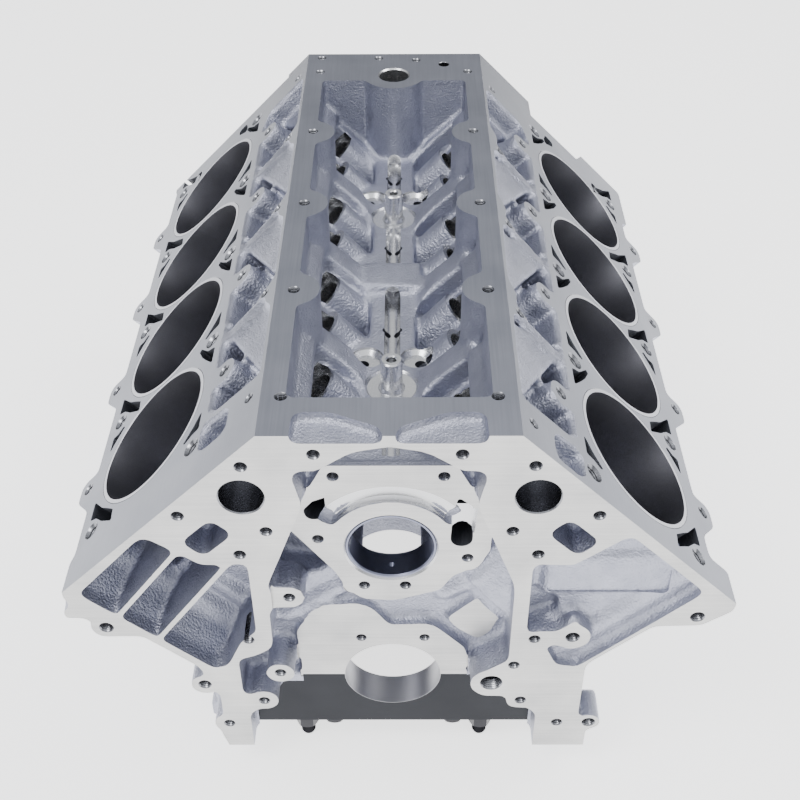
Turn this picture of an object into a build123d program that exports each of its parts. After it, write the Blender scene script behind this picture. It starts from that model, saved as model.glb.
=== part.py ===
from build123d import *
import os
from math import cos, radians, sin, tan

os.makedirs("parts", exist_ok=True)

# Frame: crank axis along Y at x = 0, z = 0; y = 0 is the machined front face and Y runs to
# the rear; +X is the forward bank, -X the staggered bank. All sizes in millimetres.

# Cylinders
BORE = 104.78  # finished liner bore
BORE_PITCH = 111.76
BORES_PER_BANK = 4
BANK_ANGLE = 45.0  # each bank from the vertical
BANK_STAGGER = 24.0  # how far the -X bank sits behind the +X bank
DECK_HEIGHT = 234.95  # crank axis to deck, along the bore
FIRST_BORE_Y = 75.24  # first bore of the +X bank
LINER_WALL = 2.8
LINER_LENGTH = 134.0
PRESS_CLEARANCE = 0.03  # radial, so that drawn solids never overlap

# Crank and cam line
MAIN_BORE = 69.86
MAIN_WIDTH = 23.6
CAM_Z = 134.7
CAM_BORE = 59.8
CAM_BEARING_WALL = 2.0
CAM_BEARING_WIDTH = 20.0
BAY_HALF = 112.0
CAM_CAVITY = 31.0  # cam axis to the cast walls between the cam bearings
REAR_LEDGE = 44.7  # last main centre to the rear face
SEAL_BORE = 104.0

# Outside of the casting
RAIL_Z = 253.8  # machined valley rails
RAIL_OUT = 78.6
RAIL_IN = 63.0
PAN_Z = -61.2  # oil pan rails
SKIRT_IN = 104.7  # machined inner wall of the skirts, where the caps fit
SKIRT_OUT = 131.0
PAN_FLANGE_OUT = 140.0
PAN_FLANGE = 12.0
DECK_EDGE = 69.0  # deck edge from the bore line
WALL_EDGE = 58.0  # outer water jacket wall
DECK_THICK = 13.0
BARREL_RADIUS = 66.0
BARREL_WALL = 2.9  # casting round the first liners, behind the front face
BARREL_DEPTH = 118.0
EAR_REACH = 87.0

# Valley
SPINE_Z = 183.0
SPINE_HALF = 17.0
RIB_Z = 226.0  # where the web tops meet the rails
WEB_WIDTH = 17.0
LIFTER_BORE = 21.4
LIFTER_ANGLE = 42.0
LIFTER_TOWER = 31.0
LIFTER_TOP = 76.0  # cam axis to the top of the lifter bosses
LOBE_PITCH = 22.0
RAIL_EAR = 38.0
REAR_TOWER_Y = 479.0
REAR_TOWER = 50.0

# Front
FLANGE_DEPTH = 27.0
PLATE_Y = 20.5  # cam plate face
PAD_Y = 19.6  # oil pump pad face
BAND_DEPTH = 35.0
PLATE_TOP = 210.5
PORT_X = 91.1
PORT_Z = 203.2
PORT_BORE = 27.9
PORT_DEPTH = 24.0
WINDOW_LONG = 29.0
WINDOW_HIGH = 18.5
WINDOW_X = 116.0
WINDOW_Z = 166.7
OIL_GROOVE_IN = 43.3
OIL_GROOVE_OUT = 57.3
OIL_GROOVE_DEPTH = 7.0
DEEP_POCKET = 38.0
SHALLOW_POCKET = 13.0
POCKET_RIB = 3.5

# Rear
BELL_FLANGE = 14.0
BELL_RADIUS = 208.0  # bellhousing bolt circle about the crank axis
BELL_HOLE = 10.5
BELL_HOLE_DEPTH = 28.0
GALLERY_X = 52.0
GALLERY_Z = 176.0
GALLERY_BORE = 17.0
GALLERY_DEPTH = 30.0
PLUG_THICK = 8.0
PLUG_RECESS = 2.0

# Main caps
CAP_Z = -57.5  # bottom face of the caps
CAP_STEP_X = 66.0
CAP_STEP = 8.0  # the outer ears sit this far below the parting line
CAP_CLEARANCE = 0.03
INNER_BOLT_X = 45.5
OUTER_STUD_X = 67.0
STUD_TIP_Z = -87.6
STUD_DIAMETER = 11.0
NUT_HEIGHT = 15.0
NUT_FLATS = 17.0
SIDE_BOLT_Z = -21.0
SIDE_FLATS = 13.0
SIDE_HEAD = 9.0
SPOT_FACE = 18.0

# Head bolting
HEAD_BOLT_U = 55.0
HEAD_BOLT_HOLE = 11.0
HEAD_BOLT_DEPTH = 60.0
DOWEL_DIAMETER = 16.0
DOWEL_HEIGHT = 12.0

SIN = sin(radians(BANK_ANGLE))
COS = cos(radians(BANK_ANGLE))
FIRST_MAIN_Y = FIRST_BORE_Y + BANK_STAGGER / 2 - BORE_PITCH / 2
MAIN_YS = [FIRST_MAIN_Y + i * BORE_PITCH for i in range(BORES_PER_BANK + 1)]
BAYS = list(zip(MAIN_YS, MAIN_YS[1:]))
BLOCK_LENGTH = MAIN_YS[-1] + REAR_LEDGE
LINER_OUTSIDE = BORE + 2 * LINER_WALL
BAY_ROOF = DECK_HEIGHT - LINER_LENGTH  # the liners end flush with the bay roofs
SIDES = {"right": 1, "left": -1}


def bore_ys(side):
    """Bore centres of the bank on that side (+1 or -1)."""
    first = FIRST_BORE_Y + (BANK_STAGGER if side < 0 else 0)
    return [first + i * BORE_PITCH for i in range(BORES_PER_BANK)]


def bolt_ys(side):
    """Head bolt stations: before, between and after the bores."""
    first = bore_ys(side)[0] - BORE_PITCH / 2
    return [first + i * BORE_PITCH for i in range(BORES_PER_BANK + 1)]


def bank_xz(side, u, height=0.0):
    """Point of a bank's cross-section: u outwards along the deck, height above it."""
    reach = DECK_HEIGHT + height
    return (side * (reach * SIN + u * COS), reach * COS - u * SIN)


def outline(corners):
    """Closed face through (a, b, corner radius) points."""
    points = [(a, b) for a, b, _ in corners]
    return make_face(FilletPolyline(*points, radius=[r for _, _, r in corners], close=True))


def both_sides(corners):
    """Closed outline mirrored about x = 0, from the half that runs out and back."""
    return outline(corners + [(-x, z, r) for x, z, r in reversed(corners) if x > 0])


def along_y(face, y0, y1):
    """Prism of a face drawn in x and z, from y0 to y1."""
    plane = Plane(origin=(0, y0, 0), x_dir=(1, 0, 0), z_dir=(0, -1, 0))
    return extrude(plane * face, amount=y1 - y0, dir=(0, 1, 0))


def down(face, z_top, depth):
    """Prism of a face drawn in x and y, from z_top downwards."""
    return extrude(Plane.XY.offset(z_top) * face, amount=depth, dir=(0, 0, -1))


def into_bank(side, face, height, depth):
    """Prism of a face drawn in y and u on a bank, from a height above the deck inwards."""
    x, z = bank_xz(side, 0, height)
    plane = Plane(origin=(x, 0, z), x_dir=(0, 1, 0), z_dir=(side * SIN, 0, COS))
    drawn = mirror(face, about=Plane.XZ) if side > 0 else face
    return extrude(plane * drawn, amount=depth, dir=(-side * SIN, 0, -COS))


def disc(a, b, diameter):
    """Round face at a place of its drawing plane."""
    return Pos(a, b) * Circle(diameter / 2)


def bar(start, end, width):
    """Straight strip between two points of its drawing plane."""
    return make_face(Line(start, end).offset_2d(width / 2))


def block_section():
    """Y-shaped section behind the front bulkhead."""
    return both_sides([
        (PAN_FLANGE_OUT, PAN_Z, 0),
        (PAN_FLANGE_OUT, PAN_Z + PAN_FLANGE, 0),
        (SKIRT_OUT, PAN_Z + 2 * PAN_FLANGE, 0),
        (SKIRT_OUT, SKIRT_OUT - WALL_EDGE / COS, 12),
        (*bank_xz(1, WALL_EDGE, -DECK_THICK), 0),
        (*bank_xz(1, DECK_EDGE, -DECK_THICK), 0),
        (*bank_xz(1, DECK_EDGE), 0),
        (RAIL_OUT, RAIL_Z, 0),
        (RAIL_IN, RAIL_Z, 0),
        (RAIL_IN, RIB_Z, 0),
        (SPINE_HALF, SPINE_Z, 0),
    ])


def front_flange(side):
    """Machined flange of one side, as seen from the front; the two legs differ."""
    top = [(0, RAIL_Z, 0), (RAIL_OUT, RAIL_Z, 0)]
    mouth = [
        (81.5, 120, 40),
        (62.0, 174, 0),
        (54.0, 196, 20),
        (60.5, 225.5, 6),
        (44.0, 225.5, 0),
        (22.0, 241, 30),
        (0, 245, 0),
    ]
    forward = [
        (*bank_xz(1, 90), 2),
        (229, 95, 4),
        (210, 80, 8),
        (178, 79, 6),
        (136, 37, 14),
        (136, -22, 0),
        (143.5, -44, 4),
        (143.5, PAN_Z, 0),
        (SKIRT_IN, PAN_Z, 0),
        (SKIRT_IN, -22, 5),
        (98, -13, 6),
        (84, -13, 6),
        (81, 0.5, 0),
        (66, 0.5, 0),
        (66, 30, 0),
        (81.5, 42, 6),
    ]
    rearward = [
        (*bank_xz(1, 72), 4),
        (221, 99, 6),
        (220, 88.5, 0),
        (204, 88.5, 5),
        (203, 69, 7),
        (171, 69, 6),
        (136, 35, 6),
        (132, 24, 0),
        (124.5, 1, 0),
        (124.5, -25, 0),
        (128, -45, 4),
        (123, PAN_Z, 0),
        (SKIRT_IN, PAN_Z, 0),
        (SKIRT_IN, -22, 5),
        (98, -15, 0),
        (98, 2.5, 0),
        (107.5, 2.5, 4),
        (107.5, 43, 5),
        (95, 47.5, 8),
        (82, 56, 14),
    ]
    leg = forward if side > 0 else rearward
    return outline([(side * x, z, r) for x, z, r in top + leg + mouth])


def front_bosses():
    """Bolt bosses that stand off the flange's edge."""
    lobes = [(144, -32, 18), (70.5, 15.5, 30), (-194, 79, 21), (-134, 14, 20), (-121.5, -33, 21)]
    lobes += [(-93, -4.5, 21), (-79, 27.5, 20), (92.5, -4.5, 19)]
    return [along_y(disc(x, z, d), 0, FLANGE_DEPTH + 1) for x, z, d in lobes]


def cam_plate():
    """Machined pad round the cam bore."""
    return outline([
        (-42, PLATE_TOP, 0),
        (42, PLATE_TOP, 0),
        (57, 180, 10),
        (66, 156, 0),
        (66, 133, 6),
        (58, 118, 6),
        (42, 108, 10),
        (33, 93, 3),
        (2, 82, 20),
        (-20, 84, 10),
        (-30, 94, 6),
        (-38, 112, 0),
        (-66, 153, 0),
        (-57, 180, 10),
    ])


def pump_pad():
    """Machined oil pump pad round the crank bore."""
    return outline([
        (-66, 0, 0),
        (-66, 22, 5),
        (-68, 50, 14),
        (-52, 76, 20),
        (-18, 82, 20),
        (-2, 57, 4),
        (28, 58, 14),
        (53, 30, 14),
        (53, 0, 0),
    ])


def tensioner_pad():
    """Lozenge pad beside the pump pad."""
    return outline([(58, 85, 4), (75, 66, 12), (69, 49, 6), (61, 41, 0), (47, 52, 4), (38, 64, 4)])


def front_section():
    """Everything ahead of the plain Y section."""
    wall = Pos(0, (SPINE_Z + RAIL_Z) / 2) * Rectangle(2 * RAIL_IN + 2, RAIL_Z - SPINE_Z)
    solids = [along_y(front_flange(side), 0, FLANGE_DEPTH + 1) for side in SIDES.values()]
    solids += front_bosses()
    solids.append(along_y(wall, FLANGE_DEPTH, BAND_DEPTH))
    solids.append(along_y(cam_plate(), PLATE_Y, BAND_DEPTH))
    solids.append(along_y(pump_pad(), PAD_Y, BAND_DEPTH))
    solids.append(along_y(tensioner_pad(), PAD_Y, BAND_DEPTH))
    for side in SIDES.values():
        barrel = disc(bore_ys(side)[0], 0, LINER_OUTSIDE + 2 * BARREL_WALL)
        solids.append(into_bank(side, barrel, -DECK_THICK, LINER_LENGTH - DECK_THICK))
    return solids


def left_pocket():
    """Deep pocket in front of the staggered bank, crossed by two thin ribs."""
    pocket = outline([
        (-157, 169, 8),
        (-207, 113, 5),
        (-125, 33, 4),
        (-115, 37, 4),
        (-104, 62, 8),
        (-92.5, 74, 4),
        (-92.5, 143, 5),
        (-122, 141.5, 8),
    ])
    ribs = [bar((-182, 93), (-134, 158), POCKET_RIB), bar((-160, 66), (-102, 147), POCKET_RIB)]
    return along_y(pocket - ribs, -1, DEEP_POCKET)


def right_pocket():
    """Shallow pocket in front of the forward bank, with its boss and raised bare plate."""
    pocket = outline([
        (152, 169, 6),
        (207, 114, 6),
        (130, 35, 4),
        (115, 37, 4),
        (104, 62, 6),
        (92, 75, 4),
        (92, 142, 5),
        (118, 141, 8),
    ])
    plate = Pos(144.5, 117) * Rectangle(85, 28)
    boss = disc(124, 67.5, 25) + Pos(111, 66.5) * Rectangle(26, 15)
    cut = along_y(pocket - boss, -1, SHALLOW_POCKET)
    return cut - along_y(plate, SHALLOW_POCKET - 5, SHALLOW_POCKET)


def front_cuts():
    """Openings in the front face and in the cam plate."""
    cuts = [left_pocket(), right_pocket()]
    for side in SIDES.values():
        window = RectangleRounded(WINDOW_LONG, WINDOW_HIGH, 5)
        tilted = Pos(side * WINDOW_X, WINDOW_Z) * Rot(0, 0, -side * BANK_ANGLE) * window
        cuts.append(along_y(tilted, -1, PORT_DEPTH))
        cuts.append(along_y(disc(side * PORT_X, PORT_Z, PORT_BORE), -1, PORT_DEPTH))
    ring = Circle(OIL_GROOVE_OUT) - Circle(OIL_GROOVE_IN)
    reach = 2 * OIL_GROOVE_OUT
    rise = reach * tan(radians(30))
    fan = Polygon((0, 0), (reach, rise), (0, reach), (-reach, rise), align=None)
    cuts.append(along_y(Pos(0, CAM_Z) * (ring & fan), PLATE_Y - 1, PLATE_Y + OIL_GROOVE_DEPTH))
    slot = Pos(46.5, 147.5) * Rot(0, 0, 90) * SlotOverall(21, 14.5)
    cuts.append(along_y(slot, PLATE_Y - 1, PLATE_Y + OIL_GROOVE_DEPTH))
    return cuts


def deck_ears(side):
    """Lobes for the outer row of small head bolts."""
    ears = []
    for y in bore_ys(side):
        lobe = outline([
            (y - 30, DECK_EDGE - 2, 0),
            (y - 8, EAR_REACH, 9),
            (y + 11, EAR_REACH, 7),
            (y + 12, DECK_EDGE - 2, 0),
        ])
        ears.append(into_bank(side, lobe, 0, 30))
    return ears


def outer_columns(side):
    """Barrel bulges and bolt columns on the outer wall."""
    barrels = [into_bank(side, disc(y, 0, 2 * BARREL_RADIUS), -DECK_THICK / 2, BARREL_DEPTH)
               for y in bore_ys(side)]
    columns = [into_bank(side, disc(y, HEAD_BOLT_U, 26), -DECK_THICK / 2, BARREL_DEPTH)
               for y in bolt_ys(side) if y < BLOCK_LENGTH - 13]
    return barrels + columns


def rail_ears():
    """Half-round screw ears on the valley rails."""
    return [down(disc(side * (RAIL_IN + 4), y + 6, RAIL_EAR), RAIL_Z, RAIL_Z - RIB_Z + 10)
            for y in MAIN_YS[1:-1] for side in SIDES.values()]


def deck_pockets(side):
    """Open cast pockets between the deck strip and the valley rail."""
    cuts = []
    stations = bolt_ys(side)
    u_rail, u_strip = -119.0, -70.0
    for i, (a, b) in enumerate(zip(stations, stations[1:])):
        start = a + (20 if i == 0 else 3)
        end = b - 12
        opening = outline([
            (start, u_rail, 0), (end, u_rail, 0), (end - 4, u_strip, 6), (start, u_strip, 10),
        ])
        cuts.append(into_bank(side, opening - disc(a + BORE_PITCH / 2, -78, 22), 1, 42))
    return cuts


def crankcase_bay():
    """Section of a crankcase bay: flat roofs square to the bores, open below."""
    return both_sides([
        (BAY_HALF, PAN_Z - 10, 0),
        (BAY_HALF, BAY_ROOF / COS - BAY_HALF, 15),
        (BAY_ROOF / COS - BAY_ROOF, BAY_ROOF, 0),
    ])


def cam_cavity():
    """Cast space round the cam between its bearings, roofed square to the lifters."""
    lean = radians(LIFTER_ANGLE)
    ridge = CAM_Z + CAM_CAVITY + 3
    ridge_half = (CAM_CAVITY - (ridge - CAM_Z) * cos(lean)) / sin(lean)
    side_z = CAM_Z + (CAM_CAVITY - (CAM_CAVITY + 1) * sin(lean)) / cos(lean)
    return both_sides([
        (20, BAY_ROOF - 1, 0),
        (20, 109, 0),
        (CAM_CAVITY + 1, 121, 0),
        (CAM_CAVITY + 1, side_z, 0),
        (ridge_half, ridge, 0),
    ])


def crankcase_cuts():
    """Bays between the webs, cap seats, cam tunnel and rear seal opening."""
    cuts = []
    for a, b in BAYS:
        y0, y1 = a + MAIN_WIDTH / 2, b - MAIN_WIDTH / 2
        cuts.append(along_y(crankcase_bay(), y0, y1))
        cuts.append(along_y(cam_cavity(), y0, y1))
    seat = both_sides([
        (CAP_STEP_X, 0, 0),
        (CAP_STEP_X, -CAP_STEP, 0),
        (SKIRT_IN, -CAP_STEP, 0),
        (SKIRT_IN, PAN_Z - 10, 0),
    ])
    cuts.append(along_y(seat, PAD_Y - 1, BLOCK_LENGTH + 1))
    cuts.append(along_y(disc(0, 0, MAIN_BORE), -1, BLOCK_LENGTH + 1))
    cuts.append(along_y(disc(0, 0, SEAL_BORE), MAIN_YS[-1] + MAIN_WIDTH / 2, BLOCK_LENGTH + 1))
    cuts.append(along_y(disc(0, CAM_Z, CAM_BORE), -1, BLOCK_LENGTH + 1))
    return cuts


def lifter_stations(side):
    """Lifter bore centres of one bank, two in each bay."""
    shift = -side * LOBE_PITCH / 2
    return [(a + b) / 2 + shift + k * LOBE_PITCH for a, b in BAYS for k in (-1, 1)]


def along_lifter(side, y, diameter, start, end):
    """Cylinder along a lifter bore, between two distances from the cam axis."""
    lean = radians(LIFTER_ANGLE)
    axis = (side * sin(lean), 0, cos(lean))
    origin = (axis[0] * start, y, CAM_Z + axis[2] * start)
    return extrude(Plane(origin=origin, z_dir=axis) * Circle(diameter / 2), amount=end - start)


def valley_cuts():
    """Open bays either side of the spine, round the lifter bosses."""
    slope = 1 / tan(radians(LIFTER_ANGLE))
    cuts = []
    for side in SIDES.values():
        floor = outline([
            (side * SPINE_HALF, CAM_Z + slope * SPINE_HALF, 0),
            (side * RAIL_IN, CAM_Z + slope * RAIL_IN, 0),
            (side * RAIL_IN, RAIL_Z + 5, 0),
            (side * SPINE_HALF, RAIL_Z + 5, 0),
        ])
        for a, b in BAYS:
            y0, y1 = a + WEB_WIDTH / 2, b - WEB_WIDTH / 2
            towers = [along_lifter(side, y, LIFTER_TOWER, 0, LIFTER_TOP)
                      for y in lifter_stations(side) if y0 < y < y1]
            cuts.append(along_y(floor, y0, y1) - towers)
    return cuts


def bell_flange():
    """Rear flange that takes the bellhousing."""
    return both_sides([
        (PAN_FLANGE_OUT + 12, PAN_Z, 4),
        (196, -58, 14),
        (204, -30, 14),
        (186, 10, 20),
        (216, 52, 14),
        (214, 90, 10),
        (*bank_xz(1, DECK_EDGE), 0),
        (RAIL_OUT, RAIL_Z, 0),
    ])


def bell_bolts():
    """Bellhousing bolt places on the rear face."""
    places = []
    for angle in (-12.5, 20.0, 61.0):
        x, z = BELL_RADIUS * cos(radians(angle)), BELL_RADIUS * sin(radians(angle))
        places += [(x, z), (-x, z)]
    return places


def rear_cuts():
    """Bellhousing bolt holes and oil gallery ends on the rear face."""
    bolts = [along_y(disc(x, z, BELL_HOLE), BLOCK_LENGTH - BELL_HOLE_DEPTH, BLOCK_LENGTH + 1)
             for x, z in bell_bolts()]
    ends = [along_y(disc(side * GALLERY_X, GALLERY_Z, GALLERY_BORE), BLOCK_LENGTH - GALLERY_DEPTH,
                    BLOCK_LENGTH + 1) for side in SIDES.values()]
    return bolts + ends


def front_spot_faces():
    """Room in the front flange for the first pair of side bolts."""
    cuts = []
    for side in SIDES.values():
        flat = Plane(origin=(side * SKIRT_OUT, MAIN_YS[0], SIDE_BOLT_Z), z_dir=(side, 0, 0))
        cuts.append(extrude(flat * Circle(SPOT_FACE / 2), amount=PAN_FLANGE_OUT - SKIRT_OUT + 20))
    return cuts


def casting():
    """The one-piece block casting with its machining."""
    body = along_y(block_section(), FLANGE_DEPTH, BLOCK_LENGTH) + front_section()
    for side in SIDES.values():
        body = body + deck_ears(side) + outer_columns(side)
    body = body - valley_cuts()
    body = body + rail_ears()
    body = body + along_y(bell_flange(), BLOCK_LENGTH - BELL_FLANGE, BLOCK_LENGTH)
    body = body - crankcase_cuts() - front_cuts() - rear_cuts() - front_spot_faces()
    for side in SIDES.values():
        bores = [into_bank(side, disc(y, 0, LINER_OUTSIDE + 2 * PRESS_CLEARANCE), 1,
                           LINER_LENGTH + 1) for y in bore_ys(side)]
        holes = [into_bank(side, disc(y, u, HEAD_BOLT_HOLE), 1, HEAD_BOLT_DEPTH)
                 for y in bolt_ys(side) for u in (-HEAD_BOLT_U, HEAD_BOLT_U)]
        lifters = [along_lifter(side, y, LIFTER_BORE, CAM_CAVITY - 1, LIFTER_TOP + 1)
                   for y in lifter_stations(side)]
        body = body - deck_pockets(side) - bores - holes - lifters
    return body


def liner(side, y):
    """Pressed-in cylinder liner, flush with the deck."""
    return into_bank(side, disc(y, 0, LINER_OUTSIDE) - disc(y, 0, BORE), 0, LINER_LENGTH)


def main_cap(y):
    """Cap of one main bearing, with its half bore and stepped ears."""
    inner, outer = CAP_STEP_X - CAP_CLEARANCE, SKIRT_IN - CAP_CLEARANCE
    face = outline([
        (-inner, 0, 0), (inner, 0, 0), (inner, -CAP_STEP, 0), (outer, -CAP_STEP, 0),
        (outer, CAP_Z, 0), (-outer, CAP_Z, 0), (-outer, -CAP_STEP, 0), (-inner, -CAP_STEP, 0),
    ])
    return along_y(face - disc(0, 0, MAIN_BORE), y - MAIN_WIDTH / 2, y + MAIN_WIDTH / 2)


def hex_head(x, y, height):
    """Hexagon against the bottom face of a cap."""
    return down(Pos(x, y) * RegularPolygon(NUT_FLATS / 2, 6, major_radius=False), CAP_Z, height)


def side_bolt(side, y):
    """Flanged head of a cross bolt on the outside of a skirt."""
    flat = Plane(origin=(side * SKIRT_OUT, y, SIDE_BOLT_Z), x_dir=(0, 1, 0), z_dir=(side, 0, 0))
    return extrude(flat * RegularPolygon(SIDE_FLATS / 2, 6, major_radius=False), amount=SIDE_HEAD)


def cam_bearing(y):
    """Pressed cam bearing bush."""
    outside = CAM_BORE - 2 * PRESS_CLEARANCE
    ring = disc(0, CAM_Z, outside) - disc(0, CAM_Z, outside - 2 * CAM_BEARING_WALL)
    return along_y(ring, y - CAM_BEARING_WIDTH / 2, y + CAM_BEARING_WIDTH / 2)


def rear_plug(x, z, bore):
    """Cup plug pressed into a bore of the rear face."""
    face = BLOCK_LENGTH - PLUG_RECESS
    return along_y(disc(x, z, bore - 2 * PRESS_CLEARANCE), face - PLUG_THICK, face)


def save(name, shape):
    """Write one piece, or one set of like fasteners, under its own name."""
    export_step(shape, f"parts/{name}.step")
    return shape


block = save("block_casting", casting())
for name, side in SIDES.items():
    for i, y in enumerate(bore_ys(side)):
        save(f"liner_{name}_{i + 1}", liner(side, y))
for i, y in enumerate(MAIN_YS):
    save(f"main_cap_{i + 1}", main_cap(y))

stations = [(side, y) for y in MAIN_YS for side in SIDES.values()]
save("inner_main_bolts", Compound([hex_head(s * INNER_BOLT_X, y, NUT_HEIGHT) for s, y in stations]))
save("outer_main_nuts", Compound([hex_head(s * OUTER_STUD_X, y, NUT_HEIGHT) for s, y in stations]))
save("side_bolts", Compound([side_bolt(s, y) for s, y in stations]))
save("cam_bearings", Compound([cam_bearing(y) for y in MAIN_YS]))
save("cam_plug", rear_plug(0, CAM_Z, CAM_BORE))
save("gallery_plugs", Compound([rear_plug(s * GALLERY_X, GALLERY_Z, GALLERY_BORE)
                                for s in SIDES.values()]))
tip_z = CAP_Z - NUT_HEIGHT
save("outer_main_studs", Compound([
    down(disc(s * OUTER_STUD_X, y, STUD_DIAMETER), tip_z, tip_z - STUD_TIP_Z) for s, y in stations]))
print("solids", len(block.solids()), "volume", block.volume, block.bounding_box())
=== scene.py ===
"""Looks of a bare V8 engine block: a sand casting, machined on its sealing faces.

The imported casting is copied, its machining allowance is put back, cast forms are added, and it is
melted into one skin with cast corners. Then it is machined as a real one is: face by face, hole by
hole. Lengths are millimetres until a mesh is made; +Y runs from the front face to the rear.
"""

import logging
import math
from collections.abc import Sequence
from dataclasses import dataclass, field
from enum import Enum

import bmesh
import bpy
from mathutils import Matrix, Vector

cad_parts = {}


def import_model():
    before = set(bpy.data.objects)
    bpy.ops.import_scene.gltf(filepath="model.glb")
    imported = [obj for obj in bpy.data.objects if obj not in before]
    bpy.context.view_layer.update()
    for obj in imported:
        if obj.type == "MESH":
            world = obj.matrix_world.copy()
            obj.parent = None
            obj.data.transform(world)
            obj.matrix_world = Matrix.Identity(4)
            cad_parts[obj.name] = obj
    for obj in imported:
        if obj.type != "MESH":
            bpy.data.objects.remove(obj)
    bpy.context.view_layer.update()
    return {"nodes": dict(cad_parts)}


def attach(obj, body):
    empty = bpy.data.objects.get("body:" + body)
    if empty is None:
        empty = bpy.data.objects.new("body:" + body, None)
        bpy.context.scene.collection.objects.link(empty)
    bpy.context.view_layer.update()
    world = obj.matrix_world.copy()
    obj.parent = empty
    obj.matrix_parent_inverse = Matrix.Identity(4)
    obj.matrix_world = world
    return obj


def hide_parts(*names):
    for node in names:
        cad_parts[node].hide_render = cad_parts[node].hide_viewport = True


LOG = logging.getLogger("engine_block")
MM = 0.001
HALF_ROOT = math.sqrt(0.5)

# The block's main sizes, in millimetres.
LENGTH = 523.1
PITCH = 111.76
DECK = 234.95
RAIL_Z = 253.8
RAIL_X = 63.0
PAN_Z = -61.2
CAM_Z = 134.7
SPINE_Z = 183.0
CAP_Z = -57.5
SKIRT_X = 131.0
SIDE_BOLT_Z = -21.0
MAIN_RADIUS = 34.93
FIRST_BORE = 75.24
STAGGER = 24.0
FIRST_MAIN = 31.36
LIFTER_LEAN = math.radians(42.0)
LIFTER_TOP = 76.0
ALLOWANCE = 4.0
PLATE_Y = 20.5
PAD_Y = 19.6
POST_LEAD = 12.1
SENSOR_Y = 479.1
SPINE_HALF = 17.0
RIB_Z = 226.0
RIB_WIDTH = 25.0
RIB_LEADS = {1: 21.5, -1: 6.0}
SHELVES = {1: 28.0, -1: 25.0}
REAR_PLATE_Y = 468.1

# Facets of the small round forms.
CORNER_FACETS = 5
ROD_FACETS = 20
HOLE_FACETS = 24

# Tapped threads, and the radii of the tapping holes.
THREAD_TURNS = 5
THREAD_PITCH = 1.6
THREAD_DEPTH = 0.45
TAP_SMALL = 3.4
TAP_COVER = 3.6
TAP_LARGE = 4.5

# Distances in metres under which points are one, or lie on a plane.
SAME_POINT = 0.00001
WELD = 0.00002
ON_PLANE = 0.00004

# Angles past which an edge stays sharp.
CUT_EDGE = math.radians(28)
CAST_EDGE = math.radians(55)

Corner = tuple[float, float, float]
Profile = Sequence[tuple[float, float]]
NodeValue = float | tuple[float, ...] | bpy.types.NodeSocket


def linear(code: str) -> tuple[float, float, float, float]:
    """Turns an sRGB hex colour into Blender's linear colour.

    Args:
        code: The colour, such as "#C8C6C0".

    Returns:
        Red, green, blue and alpha.
    """
    parts = [int(code[i:i + 2], 16) / 255 for i in (1, 3, 5)]
    red, green, blue = (p / 12.92 if p <= 0.04045 else ((p + 0.055) / 1.055) ** 2.4 for p in parts)
    return red, green, blue, 1.0


def add_node(tree: bpy.types.NodeTree, kind: str, settings: dict[str, object] | None = None,
             **inputs: NodeValue) -> bpy.types.Node:
    """Adds one shader node, sets it and links it.

    Args:
        tree: The node tree.
        kind: The node's type name.
        settings: Properties of the node itself.
        **inputs: Values or sockets by input name, with _ for a space, or by place as i0, i1.

    Returns:
        The new node.
    """
    node = tree.nodes.new(kind)
    for key, value in (settings or {}).items():
        setattr(node, key, value)
    for key, value in inputs.items():
        name = key.replace("_", " ")
        by_place = name[0] == "i" and name[1:].isdigit()
        socket = node.inputs[int(name[1:]) if by_place else name]
        if isinstance(value, bpy.types.NodeSocket):
            tree.links.new(value, socket)
        else:
            socket.default_value = value
    return node


@dataclass(frozen=True)
class Plane:
    """Flat drawing plane of the block, with its outward direction."""

    origin: Vector
    a: Vector
    b: Vector
    out: Vector

    def at(self, a: float, b: float, lift: float = 0.0) -> Vector:
        """Returns the place of a drawn point in metres, lifted outwards."""
        return (self.origin + self.a * a + self.b * b + self.out * lift) * MM

    def raised(self, lift: float) -> "Plane":
        """Returns the same plane, moved outwards."""
        return Plane(self.origin + self.out * lift, self.a, self.b, self.out)


def bank_plane(side: int) -> Plane:
    """Returns a deck's plane: a along the block, b outwards across the bank."""
    out = Vector((side * HALF_ROOT, 0, HALF_ROOT))
    return Plane(out * DECK, Vector((0, 1, 0)), Vector((side * HALF_ROOT, 0, -HALF_ROOT)), out)


def lifter_plane(side: int) -> Plane:
    """Finds the plane through the cam axis that a bank's lifter bores stand on.

    Args:
        side: 1 for the right bank, -1 for the left.

    Returns:
        The plane: a along the block, b across the bores.
    """
    out = Vector((side * math.sin(LIFTER_LEAN), 0, math.cos(LIFTER_LEAN)))
    across = Vector((side * math.cos(LIFTER_LEAN), 0, -math.sin(LIFTER_LEAN)))
    return Plane(Vector((0, 0, CAM_Z)), Vector((0, 1, 0)), across, out)


def bank_point(side: int, u: float, height: float = 0.0) -> tuple[float, float]:
    """Returns x and z of a point of a bank's section: u outwards, height above the deck."""
    reach = DECK + height
    return side * (reach + u) * HALF_ROOT, (reach - u) * HALF_ROOT


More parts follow.
